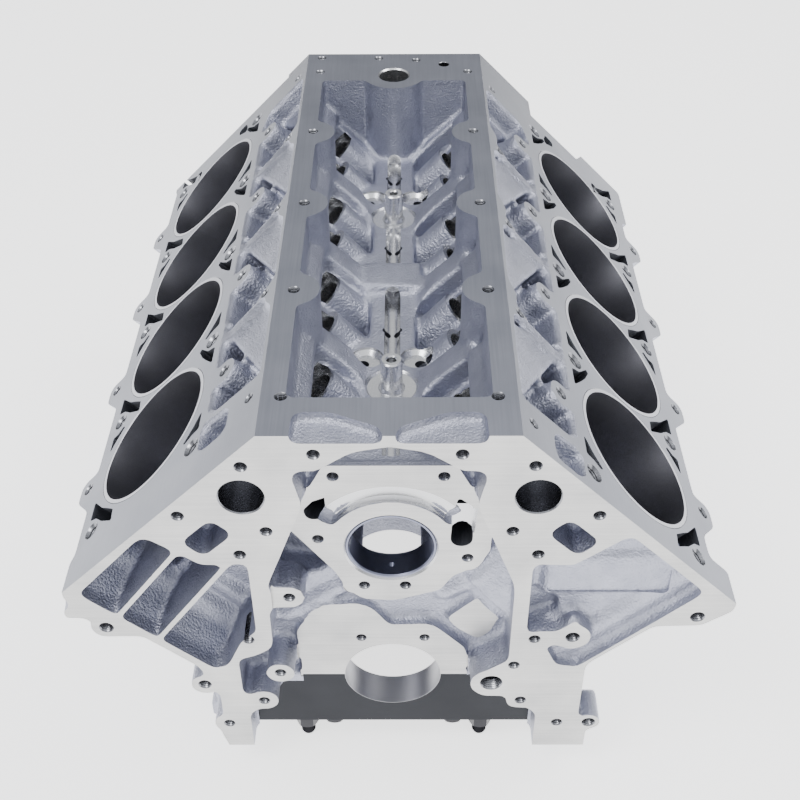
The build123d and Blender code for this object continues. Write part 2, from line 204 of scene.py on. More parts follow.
AXIS_X, AXIS_Y, AXIS_Z = Vector((1, 0, 0)), Vector((0, 1, 0)), Vector((0, 0, 1))
FRONT = Plane(Vector((0, 0, 0)), AXIS_X, AXIS_Z, -AXIS_Y)
REAR = Plane(Vector((0, LENGTH, 0)), AXIS_X, AXIS_Z, AXIS_Y)
TOP = Plane(Vector((0, 0, 0)), AXIS_X, AXIS_Y, AXIS_Z)
SECTION = Plane(Vector((0, 0, 0)), AXIS_Y, AXIS_Z, AXIS_X)
CAP_FACE = Plane(Vector((0, 0, CAP_Z)), AXIS_X, AXIS_Y, -AXIS_Z)
PLATE = FRONT.raised(-PLATE_Y)
PAD = FRONT.raised(-PAD_Y)
RAIL = TOP.raised(RAIL_Z)
SIDES = (1, -1)


def skirt_plane(side: int) -> Plane:
    """Returns the outside of a skirt: a along the block, b upwards."""
    return Plane(Vector((side * SKIRT_X, 0, 0)), AXIS_Y, AXIS_Z, Vector((side, 0, 0)))


class Finish(Enum):
    """Surfaces of the casting, each with its own material."""

    CAST = "sand_cast_aluminium"
    FACED = "fly_cut_aluminium_face"
    DECKED = "milled_aluminium_deck"
    RAILED_PAINTED_LIGHTER = "milled_aluminium_rail_painted_lighter"
    DRILLED = "drilled_aluminium_painted_dark"
    REAMED = "bright_bored_aluminium"
    JACKET = "water_jacket_painted_shade"


@dataclass(frozen=True)
class CastAluminium:
    """Sand-cast aluminium: a satin grey skin with sand grain and slow waves.

    The grain and the waves are sizes in millimetres, and sand is how strongly the grain stands out.
    """

    name: str
    colour: str
    shade: str
    roughness: float
    grain: float = 0.75
    wave: float = 16.0
    sand: float = 0.5

    def build(self) -> bpy.types.Material:
        """Makes the material.

        Returns:
            The material, on Object coordinates.
        """
        material = bpy.data.materials.new(self.name)
        material.use_nodes = True
        tree = material.node_tree
        shader = tree.nodes["Principled BSDF"]
        place = add_node(tree, "ShaderNodeTexCoord").outputs["Object"]
        sand = add_node(tree, "ShaderNodeTexNoise", Vector=place, Scale=1 / (self.grain * MM),
                        Detail=3.0)
        waves = add_node(tree, "ShaderNodeTexNoise", Vector=place, Scale=1 / (self.wave * MM),
                         Detail=4.0)
        tone = add_node(tree, "ShaderNodeMix", {"data_type": "RGBA"}, Factor=waves.outputs["Fac"],
                        i6=linear(self.shade), i7=linear(self.colour))
        tree.links.new(tone.outputs[2], shader.inputs["Base Color"])
        shader.inputs["Metallic"].default_value = 1.0
        # Sand leaves pits that scatter light and crests that catch it.
        rough = add_node(tree, "ShaderNodeMapRange", Value=sand.outputs["Fac"],
                         To_Min=self.roughness - 0.06, To_Max=self.roughness + 0.08)
        tree.links.new(rough.outputs["Result"], shader.inputs["Roughness"])
        slow = add_node(tree, "ShaderNodeBump", Strength=0.4, Distance=0.0015,
                        Height=waves.outputs["Fac"])
        fine = add_node(tree, "ShaderNodeBump", Strength=self.sand, Distance=0.0011,
                        Height=sand.outputs["Fac"], Normal=slow.outputs["Normal"])
        tree.links.new(fine.outputs["Normal"], shader.inputs["Normal"])
        return material


@dataclass(frozen=True)
class MachinedMetal:
    """Machined metal: tool lines that run one way over a bright, slightly uneven skin.

    The lay shortens each axis, so that the lines run along it, and line is their spacing in
    millimetres. A bored wall may be brighter than the rest of the piece, as bare metal; the faces
    that look along end may be painted brighter, as painted light.
    """

    name: str
    colour: str
    shade: str
    roughness: float
    lay: tuple[float, float, float] = (1.0, 1.0, 1.0)
    line: float = 0.7
    depth: float = 0.25
    # The bare bore's colour, or the colour of the painted light on the faces that look along end.
    bright: str = "#B9BAC0"
    end: tuple[float, float, float] | None = None
    bore: float = 0.0

    def bare_bore_or_painted_light(self, tree: bpy.types.NodeTree,
                    place: bpy.types.NodeSocket) -> bpy.types.Node | None:
        """Finds the bored wall, bare metal brighter than the rest of the piece, or the faces
        painted brighter as painted light.

        Args:
            tree: The material's node tree.
            place: Object coordinates.

        Returns:
            The node whose result is 1 on the bright part, or nothing where there is none.
        """
        # Faces that look along end are painted bright: painted light on them, not a finish.
        if self.end:
            normal = add_node(tree, "ShaderNodeNewGeometry").outputs["Normal"]
            facing = add_node(tree, "ShaderNodeVectorMath", {"operation": "DOT_PRODUCT"},
                              i0=normal, i1=self.end)
            return add_node(tree, "ShaderNodeMapRange", Value=facing.outputs["Value"],
                            From_Min=0.85, From_Max=0.95)
        if self.bore:
            flat = add_node(tree, "ShaderNodeVectorMath", {"operation": "MULTIPLY"},
                            i0=place, i1=(1.0, 0.0, 1.0))
            reach = add_node(tree, "ShaderNodeVectorMath", {"operation": "LENGTH"},
                             i0=flat.outputs["Vector"])
            return add_node(tree, "ShaderNodeMapRange", Value=reach.outputs["Value"],
                            From_Min=(self.bore + 0.3) * MM, From_Max=(self.bore + 0.1) * MM)
        return None

    def build(self) -> bpy.types.Material:
        """Makes the material.

        Returns:
            The material, on Object coordinates.
        """
        material = bpy.data.materials.new(self.name)
        material.use_nodes = True
        tree = material.node_tree
        shader = tree.nodes["Principled BSDF"]
        place = add_node(tree, "ShaderNodeTexCoord").outputs["Object"]
        turned = add_node(tree, "ShaderNodeMapping", {"vector_type": "POINT"}, Vector=place,
                          Scale=self.lay)
        lines = add_node(tree, "ShaderNodeTexNoise", Vector=turned.outputs["Vector"],
                         Scale=1 / (self.line * MM), Detail=2.0)
        # Coolant and handling leave faint stains, about 45 mm wide.
        patches = add_node(tree, "ShaderNodeTexNoise", Vector=place, Scale=1 / (45 * MM),
                           Detail=3.0)
        both = add_node(tree, "ShaderNodeMath", {"operation": "MULTIPLY_ADD"},
                        i0=lines.outputs["Fac"], i1=0.6)
        tree.links.new(patches.outputs["Fac"], both.inputs[2])
        tone = add_node(tree, "ShaderNodeMapRange", Value=both.outputs["Value"],
                        From_Min=0.45, From_Max=1.15)
        mixed = add_node(tree, "ShaderNodeMix", {"data_type": "RGBA"},
                         Factor=tone.outputs["Result"],
                         i6=linear(self.shade), i7=linear(self.colour))
        part = self.bare_bore_or_painted_light(tree, place)
        if part:
            mixed = add_node(tree, "ShaderNodeMix", {"data_type": "RGBA"},
                             Factor=part.outputs["Result"],
                             i6=mixed.outputs[2], i7=linear(self.bright))
        tree.links.new(mixed.outputs[2], shader.inputs["Base Color"])
        shader.inputs["Metallic"].default_value = 1.0
        rough = add_node(tree, "ShaderNodeMapRange", Value=lines.outputs["Fac"],
                         To_Min=self.roughness - 0.05, To_Max=self.roughness + 0.05)
        tree.links.new(rough.outputs["Result"], shader.inputs["Roughness"])
        bump = add_node(tree, "ShaderNodeBump", Strength=self.depth, Distance=0.0001,
                        Height=lines.outputs["Fac"])
        tree.links.new(bump.outputs["Normal"], shader.inputs["Normal"])
        return material


ALONG = (1.0, 0.02, 1.0)
ACROSS = (0.02, 1.0, 1.0)
EVEN = (1.0, 1.0, 1.0)
FINISHES = {
    # Sand-cast aluminium, blasted clean: a satin grey skin, pebbled, without clear reflections. Its
    # grain is about 0.3 mm, and is drawn 1.7 mm coarse, because finer grain doesn't show.
    Finish.CAST: CastAluminium(
        Finish.CAST.value, "#B9BBC8", "#9496A4", 0.44, grain=1.7, wave=14.0, sand=0.8),
    # Fly-cut aluminium: nearly white, with fine lines across that smear the highlight sideways.
    # The feed marks are about 0.2 mm apart, and are drawn 1.6 mm wide to show.
    Finish.FACED: MachinedMetal(Finish.FACED.value, "#CBCAC8", "#A5A5A6", 0.33, ACROSS, 1.6),
    # Milled aluminium deck: a flat mid grey, because its finer lines run along the block. They are
    # about 0.1 mm apart, and are drawn 1.1 mm wide to show.
    Finish.DECKED: MachinedMetal(Finish.DECKED.value, "#94969F", "#80838D", 0.36, ALONG, 1.1),
    # Milled aluminium rail: the deck's metal, painted a shade lighter because it faces the light
    # overhead: painted light.
    Finish.RAILED_PAINTED_LIGHTER: MachinedMetal(Finish.RAILED_PAINTED_LIGHTER.value, "#A3A5AF", "#8D909A", 0.36, ALONG, 1.1),
    # Drilled aluminium: a shiny wall, its colour painted dark as painted shade in the holes; it
    # also mirrors the hole's own depth.
    Finish.DRILLED: MachinedMetal(
        Finish.DRILLED.value, "#9C9DA2", "#6E6F74", 0.26, EVEN, line=1.2, depth=0.04),
    # Bored and reamed aluminium: the brightest metal here, with clear, soft reflections.
    Finish.REAMED: MachinedMetal(Finish.REAMED.value, "#DADADB", "#C6C7CA", 0.26),
    # Cast skin inside the coolant passages and pockets: dull, and painted dark as painted shade, so
    # that the openings read as black.
    Finish.JACKET: CastAluminium(Finish.JACKET.value, "#6A6C74", "#55575E", 0.55),
}
# Machined and black-oxided steel caps: almost black and soft, with a bright bore in the middle.
CAP_STEEL = MachinedMetal("black_oxide_steel_cap", "#2F3034", "#242529", 0.4, bright="#C4C4C8",
                          bore=MAIN_RADIUS)
# Black-oxided steel fasteners: near black, with sharp, small highlights on edges and crowns.
BOLT_STEEL = MachinedMetal("black_oxide_bolt", "#3F3F42", "#2E2E31", 0.25)
# Tin-faced bearing bush: a smooth blue-grey wall that mirrors the floor as a soft streak.
BUSH_TIN = MachinedMetal("tin_bearing_bush", "#8A8D9E", "#74778A", 0.34)
# Zinc-plated steel plugs: pale and slightly warm, with a soft sheen.
PLUG_ZINC = MachinedMetal("zinc_plug", "#B9B7B0", "#A19F98", 0.3)


def liner_iron(name: str, side: int) -> MachinedMetal:
    """Describes a bank's liners, with painted light that makes their ends brighter than their
    walls.

    Args:
        name: The bank's name.
        side: 1 for the right bank, -1 for the left.

    Returns:
        The finish.
    """
    # Honed cast iron: a dark wall with one soft streak of light down it. The ends that face out of
    # the deck are painted brighter: a painted highlight.
    return MachinedMetal(f"honed_cast_iron_painted_lit_ends_{name}", "#A8A8B0", "#8A8A92", 0.34,
                         end=(side * HALF_ROOT, 0.0, HALF_ROOT))


def keep_mesh(obj: bpy.types.Object) -> None:
    """Applies an object's modifiers to its mesh.

    Args:
        obj: The object, which is left without modifiers.
    """
    graph = bpy.context.evaluated_depsgraph_get()
    mesh = bpy.data.meshes.new_from_object(obj.evaluated_get(graph), depsgraph=graph)
    obj.modifiers.clear()
    obj.data = mesh


def new_object(name: str, bm: bmesh.types.BMesh) -> bpy.types.Object:
    """Makes a scene object of a bmesh, and frees it.

    Args:
        name: The object's name.
        bm: The shape, in metres.

    Returns:
        The object, which sits at the origin.
    """
    mesh = bpy.data.meshes.new(name)
    bm.to_mesh(mesh)
    bm.free()
    obj = bpy.data.objects.new(name, mesh)
    bpy.context.scene.collection.objects.link(obj)
    return obj


def cut_with(body: bpy.types.Object, tool: bpy.types.Object,
             operation: str = "DIFFERENCE") -> None:
    """Cuts a body with a tool, whose finish the cut faces take, and removes the tool.

    Args:
        body: What is cut.
        tool: Closed shells that don't overlap one another.
        operation: "DIFFERENCE", "INTERSECT" or "UNION".
    """
    mod = body.modifiers.new(tool.name, "BOOLEAN")
    mod.operation = operation
    mod.solver = "MANIFOLD"
    mod.object = tool
    mod.material_mode = "TRANSFER"
    keep_mesh(body)
    bpy.data.objects.remove(tool)


@dataclass
class Shells:
    """Closed shells of one finish, drawn in millimetres and gathered in one mesh."""

    bm: bmesh.types.BMesh = field(default_factory=bmesh.new)

    def keep(self, part: bmesh.types.BMesh) -> None:
        """Takes over a finished shell.

        Args:
            part: The shell, which is freed.
        """
        bmesh.ops.recalc_face_normals(part, faces=part.faces)
        mesh = bpy.data.meshes.new("shell")
        part.to_mesh(mesh)
        part.free()
        self.bm.from_mesh(mesh)
        bpy.data.meshes.remove(mesh)

    def prism(self, plane: Plane, corners: Sequence[Corner], low: float, high: float) -> None:
        """Adds a prism, with rounded corners where the outline asks for them.

        Args:
            plane: What it is drawn on.
            corners: The outline, as a, b and corner radius.
            low: Lift of the face that the outline is drawn on.
            high: Lift of the opposite face.
        """
        part = bmesh.new()
        verts = [part.verts.new(plane.at(a, b, low)) for a, b, _ in corners]
        part.faces.new(verts)
        count = len(corners)
        for i, (a, b, radius) in enumerate(corners):
            if radius <= 0:
                continue
            here = Vector((a, b))
            before = Vector(corners[i - 1][:2]) - here
            after = Vector(corners[(i + 1) % count][:2]) - here
            offset = radius / math.tan(before.angle(after) / 2)
            bmesh.ops.bevel(part, geom=[verts[i]], offset=offset * MM, offset_type="OFFSET",
                            segments=CORNER_FACETS, profile=0.5, affect="VERTICES", material=-1)
        grown = bmesh.ops.extrude_face_region(part, geom=part.faces[:])
        top = [g for g in grown["geom"] if isinstance(g, bmesh.types.BMVert)]
        bmesh.ops.translate(part, vec=plane.out * ((high - low) * MM), verts=top)
        self.keep(part)

    def wedge(self, plane: Plane, corners: Sequence[tuple[float, float, float, float]]) -> None:
        """Adds a prism whose floor and roof slope.

        Args:
            plane: What it is drawn on.
            corners: Each corner's a, b, and its lift on the floor and on the roof.
        """
        part = bmesh.new()
        low = [part.verts.new(plane.at(a, b, bottom)) for a, b, bottom, _ in corners]
        high = [part.verts.new(plane.at(a, b, top)) for a, b, _, top in corners]
        part.faces.new(low)
        part.faces.new(high[::-1])
        for i in range(len(corners)):
            j = (i + 1) % len(corners)
            part.faces.new((low[i], low[j], high[j], high[i]))
        bmesh.ops.triangulate(part, faces=part.faces)
        self.keep(part)

    def turned(self, plane: Plane, a: float, b: float, profile: Profile, steps: int = 28) -> None:
        """Adds a turned solid.

        Args:
            plane: What its axis stands on.
            a: Place of the axis along a.
            b: Place of the axis along b.
            profile: Lift and radius of each point, from a radius of nothing back to nothing.
            steps: Facets round it.
        """
        part = bmesh.new()
        chain = [part.verts.new(plane.at(a + radius, b, lift)) for lift, radius in profile]
        edges = [part.edges.new(pair) for pair in zip(chain, chain[1:])]
        bmesh.ops.spin(part, geom=[*chain, *edges], cent=plane.at(a, b), axis=plane.out,
                       angle=2 * math.pi, steps=steps, use_merge=True)
        bmesh.ops.remove_doubles(part, verts=part.verts, dist=WELD)
        self.keep(part)

    def rod(self, start: Vector, end: Vector, radii: tuple[float, float]) -> None:
        """Adds a round bar with round ends.

        Args:
            start: Centre of its first end, in millimetres.
            end: Centre of its last end.
            radii: Its radius at the first end and at the last.
        """
        run = end - start
        out = run.normalized()
        across = out.orthogonal().normalized()
        plane = Plane(start, across, out.cross(across), out)
        turns = [math.radians(t) for t in (30, 60, 90)]
        first = [(-radii[0] * math.cos(t), radii[0] * math.sin(t)) for t in turns]
        last = [(run.length + radii[1] * math.cos(t), radii[1] * math.sin(t)) for t in turns[::-1]]
        profile = [(-radii[0], 0.0), *first, *last, (run.length + radii[1], 0.0)]
        self.turned(plane, 0, 0, profile, ROD_FACETS)

    def swept(self, plane: Plane, a: float, b: float, section: Profile, start: float,
              sweep: float, steps: int) -> None:
        """Adds a curved bar.

        Args:
            plane: What it lies on.
            a: Place of its centre along a.
            b: Place of its centre along b.
            section: Its outline, as radius and lift.
            start: Angle of its first end from a, in degrees.
            sweep: Angle that it covers, in degrees.
            steps: Facets along it.
        """
        part = bmesh.new()
        first = math.radians(start)
        along = (math.cos(first), math.sin(first))
        verts = [part.verts.new(plane.at(a + r * along[0], b + r * along[1], lift)) for r,
                 lift in section]
        face = part.faces.new(verts)
        bmesh.ops.spin(part, geom=[*part.verts, *part.edges, face], cent=plane.at(a, b),
                       axis=plane.a.cross(plane.b), angle=math.radians(sweep), steps=steps)
        bmesh.ops.remove_doubles(part, verts=part.verts, dist=WELD)
        self.keep(part)

    def ring(self, plane: Plane, a: float, b: float, section: Profile, steps: int = 48) -> None:
        """Adds a closed ring.

        Args:
            plane: What its axis stands on.
            a: Place of the axis along a.
            b: Place of the axis along b.
            section: Its outline, as radius and lift.
            steps: Facets round it.
        """
        part = bmesh.new()
        verts = [part.verts.new(plane.at(a + r, b, lift)) for r, lift in section]
        edges = [part.edges.new((verts[i - 1], verts[i])) for i in range(len(verts))]
        bmesh.ops.spin(part, geom=[*verts, *edges], cent=plane.at(a, b), axis=plane.out,
                       angle=2 * math.pi, steps=steps, use_merge=True)
        bmesh.ops.remove_doubles(part, verts=part.verts, dist=WELD)
        self.keep(part)

    def hole(self, plane: Plane, a: float, b: float, radius: float, depth: float = 22.0,
             chamfer: float = 0.6, threaded: bool = True) -> None:
        """Adds the cutter of a drilled hole with a chamfer and a drill point.

        Args:
            plane: The face that it is drilled in.
            a: Its place along a.
            b: Its place along b.
            radius: Its radius.
            depth: How deep it is before the drill point.
            chamfer: Width and depth of its chamfer.
            threaded: Whether it shows the first few thread crests.
        """
        profile = [(1.0, 0.0), (1.0, radius + chamfer + 1.0), (-chamfer, radius)]
        if threaded:
            for turn in range(THREAD_TURNS):
                lift = -chamfer - 1.0 - THREAD_PITCH * turn
                profile += [(lift, radius - THREAD_DEPTH), (lift - THREAD_PITCH / 2, radius)]
        profile += [(-depth, radius * 0.92), (-depth - 0.5 * radius, 0.0)]
        self.turned(plane, a, b, profile, HOLE_FACETS)

    def mesh_object(self, name: str,
                    finish: bpy.types.Material | None = None) -> bpy.types.Object:
        """Makes one object of all the shells.

        Args:
            name: The object's name.
            finish: The material of its faces, where it has one.

        Returns:
            The object.
        """
        obj = new_object(name, self.bm)
        if finish:
            obj.data.materials.append(finish)
        return obj


def bar_outline(start: tuple[float, float], end: tuple[float, float],
                width: float) -> list[Corner]:
    """Draws a straight strip between two points.

    Args:
        start: One end, as a and b.
        end: The other end.
        width: The strip's width.

    Returns:
        Its outline, with sharp corners.
    """
    a, b = Vector(start), Vector(end)
    side = (b - a).normalized().orthogonal() * (width / 2)
    return [(*(a + side), 0), (*(b + side), 0), (*(b - side), 0), (*(a - side), 0)]


@dataclass(frozen=True)
class Layout:
    """Where things are along the block."""

    def bores(self, side: int) -> list[float]:
        """Returns the bore centres of one bank."""
        first = FIRST_BORE + (STAGGER if side < 0 else 0.0)
        return [first + i * PITCH for i in range(4)]

    def bolts(self, side: int) -> list[float]:
        """Returns the head bolt stations of one bank."""
        first = self.bores(side)[0] - PITCH / 2
        return [first + i * PITCH for i in range(5)]

    def mains(self) -> list[float]:
        """Returns the main bearing centres."""
        return [FIRST_MAIN + i * PITCH for i in range(5)]

    def lifters(self, side: int) -> list[float]:
        """Returns the lifter bore centres of one bank."""
        throws = [m + PITCH / 2 for m in self.mains()[:4]]
        return [y - side * 11.0 + k * 22.0 for y in throws for k in (-1, 1)]

    def posts(self) -> list[float]:
        """Returns the cover posts' places on the spine."""
        return [m - POST_LEAD for m in self.mains()[1::2]]


LAYOUT = Layout()
POCKET_RIBS = (((-182, 93), (-134, 158)), ((-160, 66), (-102, 147)))
BELL_HOLES = tuple((side * 208 * math.cos(math.radians(t)), 208 * math.sin(math.radians(t)))
                   for t in (-12.5, 20.0, 61.0) for side in SIDES)
GALLERIES = ((52.0, 176.0), (-52.0, 176.0))
PORTS = ((91.1, 203.2), (-91.1, 203.2))
FRONT_TAPS = ((-89, 229), (-132, 187), (-45, 239), (-78, 173), (-96.5, 151.5), (-98.5, 65),
              (-93, -5), (-121, -33), (-79, 28), (87.5, 229.5), (130, 187), (43.5, 239), (77, 173),
              (94.5, 151.5), (98, 65.5), (85.5, 36.5), (92.5, -4.5), (121, -32))
FRONT_HOLES = ((-194, 78.5, 4.5), (-134, 14.5, 4.2), (206, 89, 4.5), (124, 67.5, 4.5),
               (144.5, -32, 4.5), (70.5, 16, 7.5))
PLATE_TAPS = ((-36, 201), (34, 201), (-48, 144), (51, 125.5), (-18.5, 98), (9.5, 98))
PAD_TAPS = ((-22, 42.5), (23, 42.5))
RAIL_STATIONS = (36, 148, 261, 374)
REAR_PLATE_TAPS = ((-66, 515), (-14, 514), (20, 510), (-66, 486), (66, 486))
PAN_STATIONS = (18, 88, 158, 228, 298, 368, 438, 502)


@dataclass
class Casting:
    """The one-piece block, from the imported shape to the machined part."""

    materials: dict[Finish, bpy.types.Material]
    bore_radius: float = 55.23
    liner_depth: float = 134.0
    voxel: float = 2.4
    triangles: int = 92000
    main_radius: float = MAIN_RADIUS
    cam_radius: float = 29.9
    seal_radius: float = 52.0
    port_radius: float = 13.97
    lifter_radius: float = 10.7
    tower_radius: float = 15.5
    web_half: float = 11.8
    cap_seat_half: float = 104.7
    head_bolt_radius: float = 5.8
    bell_bolt_radius: float = 5.3
    gallery_radius: float = 8.53
    reach: float = 229.6
    body: bpy.types.Object | None = None

    def stock(self, source: bpy.types.Object) -> None:
        """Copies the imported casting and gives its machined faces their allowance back.

        Args:
            source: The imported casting, which stays as it is.
        """
        bm = bmesh.new()
        bm.from_mesh(source.data)
        bmesh.ops.remove_doubles(bm, verts=bm.verts, dist=SAME_POINT)
        lean = (math.sin(LIFTER_LEAN), math.cos(LIFTER_LEAN))
        planes = [(AXIS_Z, RAIL_Z), (-AXIS_Z, -PAN_Z), (-AXIS_Y, 0.0), (-AXIS_Y, -PLATE_Y),
                  (-AXIS_Y, -PAD_Y), (AXIS_Y, LENGTH)]
        for side in SIDES:
            planes.append((Vector((side * HALF_ROOT, 0, HALF_ROOT)), DECK))
            planes.append((Vector((side * lean[0], 0, lean[1])), CAM_Z * lean[1] + LIFTER_TOP))
        for vert in bm.verts:
            place = vert.co.copy()
            for normal, reach in planes:
                if abs(normal.dot(place) - reach * MM) < ON_PLANE:
                    vert.co += normal * (ALLOWANCE * MM)
        self.body = new_object("casting", bm)
        self.body.data.materials.append(self.materials[Finish.CAST])

    def machine(self, name: str, tool: Shells, finish: Finish,
                operation: str = "DIFFERENCE") -> None:
        """Cuts the casting with one set of tools."""
        cut_with(self.body, tool.mesh_object(name, self.materials[finish]), operation)

    def core_out(self) -> None:
        """Opens the hollows that sand cores leave, before the skin is made."""
        front = Shells()
        front.prism(FRONT, [(-41, 197, 0), (41, 197, 0), (41, 226, 0), (22, 240, 8), (0, 244, 0),
                            (-22, 240, 8), (-41, 226, 0)], -40, -26.9)
        front.prism(FRONT, [(-64, 149, 0), (-40, 113, 0), (-54, 104, 4), (-74, 108, 4),
                            (-79, 122, 4), (-76, 141, 2)], -46, -22)
        pocket = [(*bank_point(-1, -7.0, -6), 6), (*bank_point(-1, 55, -10), 4),
                  (*bank_point(-1, 55, -118), 4),
                  (-116.5, 45, 4), (-105.5, 63, 6), (-94, 75, 4), (-94, 141.5, 4), (-121.5, 140, 6)]
        front.prism(FRONT, pocket, -58, -33)
        front.prism(FRONT, [(91, 73, 0), (91, 104, 0), (97, 107, 3), (105, 99, 3), (113, 93, 3),
                            (113, 80, 3), (104, 75, 3)], -34, -11)
        front.turned(FRONT, -224, 103, [(6, 0), (6, 9), (-7, 8), (-9, 5), (-9, 0)], 24)
        self.machine("front_cores", front, Finish.CAST)
        decks = Shells()
        for side in SIDES:
            deck = bank_plane(side)
            for b in LAYOUT.bolts(side)[1:4]:
                web = [(b - 13, -118.5, 0), (b + 4, -118.5, 0), (b + 4, -70.3, 0),
                       (b - 13, -70.3, 0)]
                decks.prism(deck, web, -41, 6)
            lens = (17.0, -79.5) if side > 0 else (42.0, -77.5)
            decks.prism(deck, [(lens[0] + i * 12, lens[1] + j * 13.5, 7) for i, j in
                               ((-1, -1), (1, -1), (1, 1), (-1, 1))], -16, 6)
        self.machine("deck_cores", decks, Finish.CAST)

    def valley_cores(self) -> None:
        """Recasts the valley: a rib at each bearing, with a shelf and an open pocket behind it."""
        slope = 1 / math.tan(LIFTER_LEAN)
        inner, outer = CAM_Z + slope * SPINE_HALF, CAM_Z + slope * RAIL_X
        fill, slopes = Shells(), Shells()
        for side in SIDES:
            fill.prism(FRONT, [(side * 16, inner - 2, 0), (side * 16, SPINE_Z, 0),
                               (side * SPINE_HALF, SPINE_Z, 0), (side * (RAIL_X + 1), RIB_Z + 1, 0),
                               (side * (RAIL_X + 1), outer - 1, 0)], -490, -30)
            slopes.prism(FRONT, [(side * SPINE_HALF, inner, 0), (side * RAIL_X, outer, 0),
                                 (side * RAIL_X, 240, 0), (side * SPINE_HALF, 240, 0)], -510, -30)
        self.machine("valley_fill", fill, Finish.CAST, "UNION")
        wells, shelves, towers, more = Shells(), Shells(), Shells(), Shells()
        mains = LAYOUT.mains()
        for side in SIDES:
            for y in LAYOUT.lifters(side):
                for tool in (towers, more):
                    tool.turned(lifter_plane(side), y, 0, [(LIFTER_TOP + 4, 0),
                                                           (LIFTER_TOP + 4, self.tower_radius),
                                                           (0, self.tower_radius),
                                                           (0, 0)], 36)
            for a, b in zip(mains, mains[1:]):
                rib = a - RIB_LEADS[side] + RIB_WIDTH
                start = rib + SHELVES[side]
                end = b - (18.0 if b == mains[-1] else RIB_LEADS[side])
                near, far = side * SPINE_HALF, side * (RAIL_X + 2)
                wells.prism(TOP, [(near, start, 0), (near, end, 20), (far, end, 0),
                                  (far, start, 0)], 140, RIB_Z + 2)
                shelves.prism(TOP, [(side * 3, rib, 0), (side * 3, start + 2, 0),
                                    (side * RAIL_X, start + 2, 0),
                                    (side * RAIL_X, rib, 0)], SPINE_Z, RIB_Z + 2)
        cast = self.materials[Finish.CAST]
        tool = wells.mesh_object("valley_wells", cast)
        cut_with(tool, slopes.mesh_object("valley_slopes", cast), "INTERSECT")
        cut_with(tool, towers.mesh_object("lifter_towers", cast))
        cut_with(self.body, tool)
        tool = shelves.mesh_object("valley_shelves", cast)
        cut_with(tool, more.mesh_object("lifter_towers", cast))
        cut_with(self.body, tool)
        dishes = Shells()
        for side in SIDES:
            dishes.prism(TOP, [(side * 2, -6, 0), (side * 6, 8, 0), (side * 36, 21.5, 10),
                               (side * 58, 21.5, 6), (side * 59, -6, 0)], RAIL_Z - 6, RAIL_Z + 6)
        self.machine("band_reliefs", dishes, Finish.CAST)

    def valley_forms(self, fill: Shells) -> None:
        """Adds the screw ears, the bridge over the middle bearing and the closed rear plate.

        Args:
            fill: Takes the shells.
        """
        high = RAIL_Z + ALLOWANCE
        for y in LAYOUT.mains()[1:-1]:
            for side in SIDES:
                fill.turned(TOP, side * 67, y + 6,
                            [(176, 0), (176, 21), (216, 19), (high, 19), (high, 0)], 32)
        fill.prism(TOP, [(-22, 243.4, 0), (22, 243.4, 0), (22, 276.4, 0), (-22, 276.4, 0)], 176,
                   SPINE_Z + 7)
        rear = LENGTH + ALLOWANCE
        fill.prism(TOP, [(-64, REAR_PLATE_Y, 0), (64, REAR_PLATE_Y, 0), (64, rear, 0),
                         (-64, rear, 0)], 153, high)
        fill.turned(TOP, 0, SENSOR_Y, [(153, 0), (153, 27), (high, 27), (high, 0)], 48)

    def cast_forms(self, fill: Shells) -> None:
        """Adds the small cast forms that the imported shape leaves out.

        Args:
            fill: Takes the shells.
        """
        fill.prism(SECTION, [(26, 207, 0), (52, 184, 0), (52, 176, 0), (26, 176, 0)], -38, 38)
        fill.prism(FRONT, [(-84, 95.5, 0), (-57.5, 95.5, 10), (-57.5, 116.5, 10), (-84, 116.5, 0)],
                   -28, -1)
        fill.rod(Vector((-30, 27, 96)), Vector((-74, 28, 62)), (6.5, 7.5))
        fill.rod(Vector((36, 28, 84)), Vector((66, 29, 104)), (6.5, 7.5))
        fill.rod(Vector((-79, 30, 27.5)), Vector((-79, 4, 27.5)), (9.5, 9.5))
        barrel = bank_plane(-1)
        fill.turned(barrel, LAYOUT.bores(-1)[0], 0,
                    [(-10, 0), (-10, 60.5), (-133, 60.5), (-133, 0)], 72)
        fill.turned(barrel, LAYOUT.bolts(-1)[0] + 1, 54, [(-8, 0), (-8, 12), (-128, 14), (-128, 0)],
                    32)
        fill.turned(barrel, LAYOUT.bolts(-1)[0] + 4, 33,
                    [(-60, 0), (-60, 9), (-128, 11), (-128, 0)], 28)
        outer = [bank_point(-1, u, h) for u, h in ((66.5, -4), (66.5, -124), (44, -120), (44, -6))]
        fill.wedge(FRONT, [(*outer[0], -64, -9), (*outer[1], -64, -9), (*outer[2], -64, -50),
                           (*outer[3], -64, -50)])
        for start, end in POCKET_RIBS:
            fill.prism(FRONT, bar_outline(start, end, 4.2), -60, -3)
        for x, r in ((97, 5.5), (107.5, 5)):
            fill.rod(Vector((x, 29, 68)), Vector((x, 29, 110)), (r, r))
        ends = [Vector((*bank_point(1, 66, -112), 0)), Vector((*bank_point(1, 66, -16), 0))]
        corner = [Vector((e.x, 13.5, e.y)) for e in ends]
        fill.rod(corner[0], corner[1], (6.5, 5.0))
        fill.rod(Vector((124, 14, 67.5)), Vector((124, 4, 82)), (13, 5))
        fill.rod(Vector((106, 15, 134)), Vector((184, 15, 137)), (6, 6))
        for side in SIDES:
            self.deck_forms(fill, side)
            for y in LAYOUT.mains():
                fill.turned(skirt_plane(side), y, SIDE_BOLT_Z, [(-6, 0), (-6, 16), (3, 12), (3, 0)],
                            28)

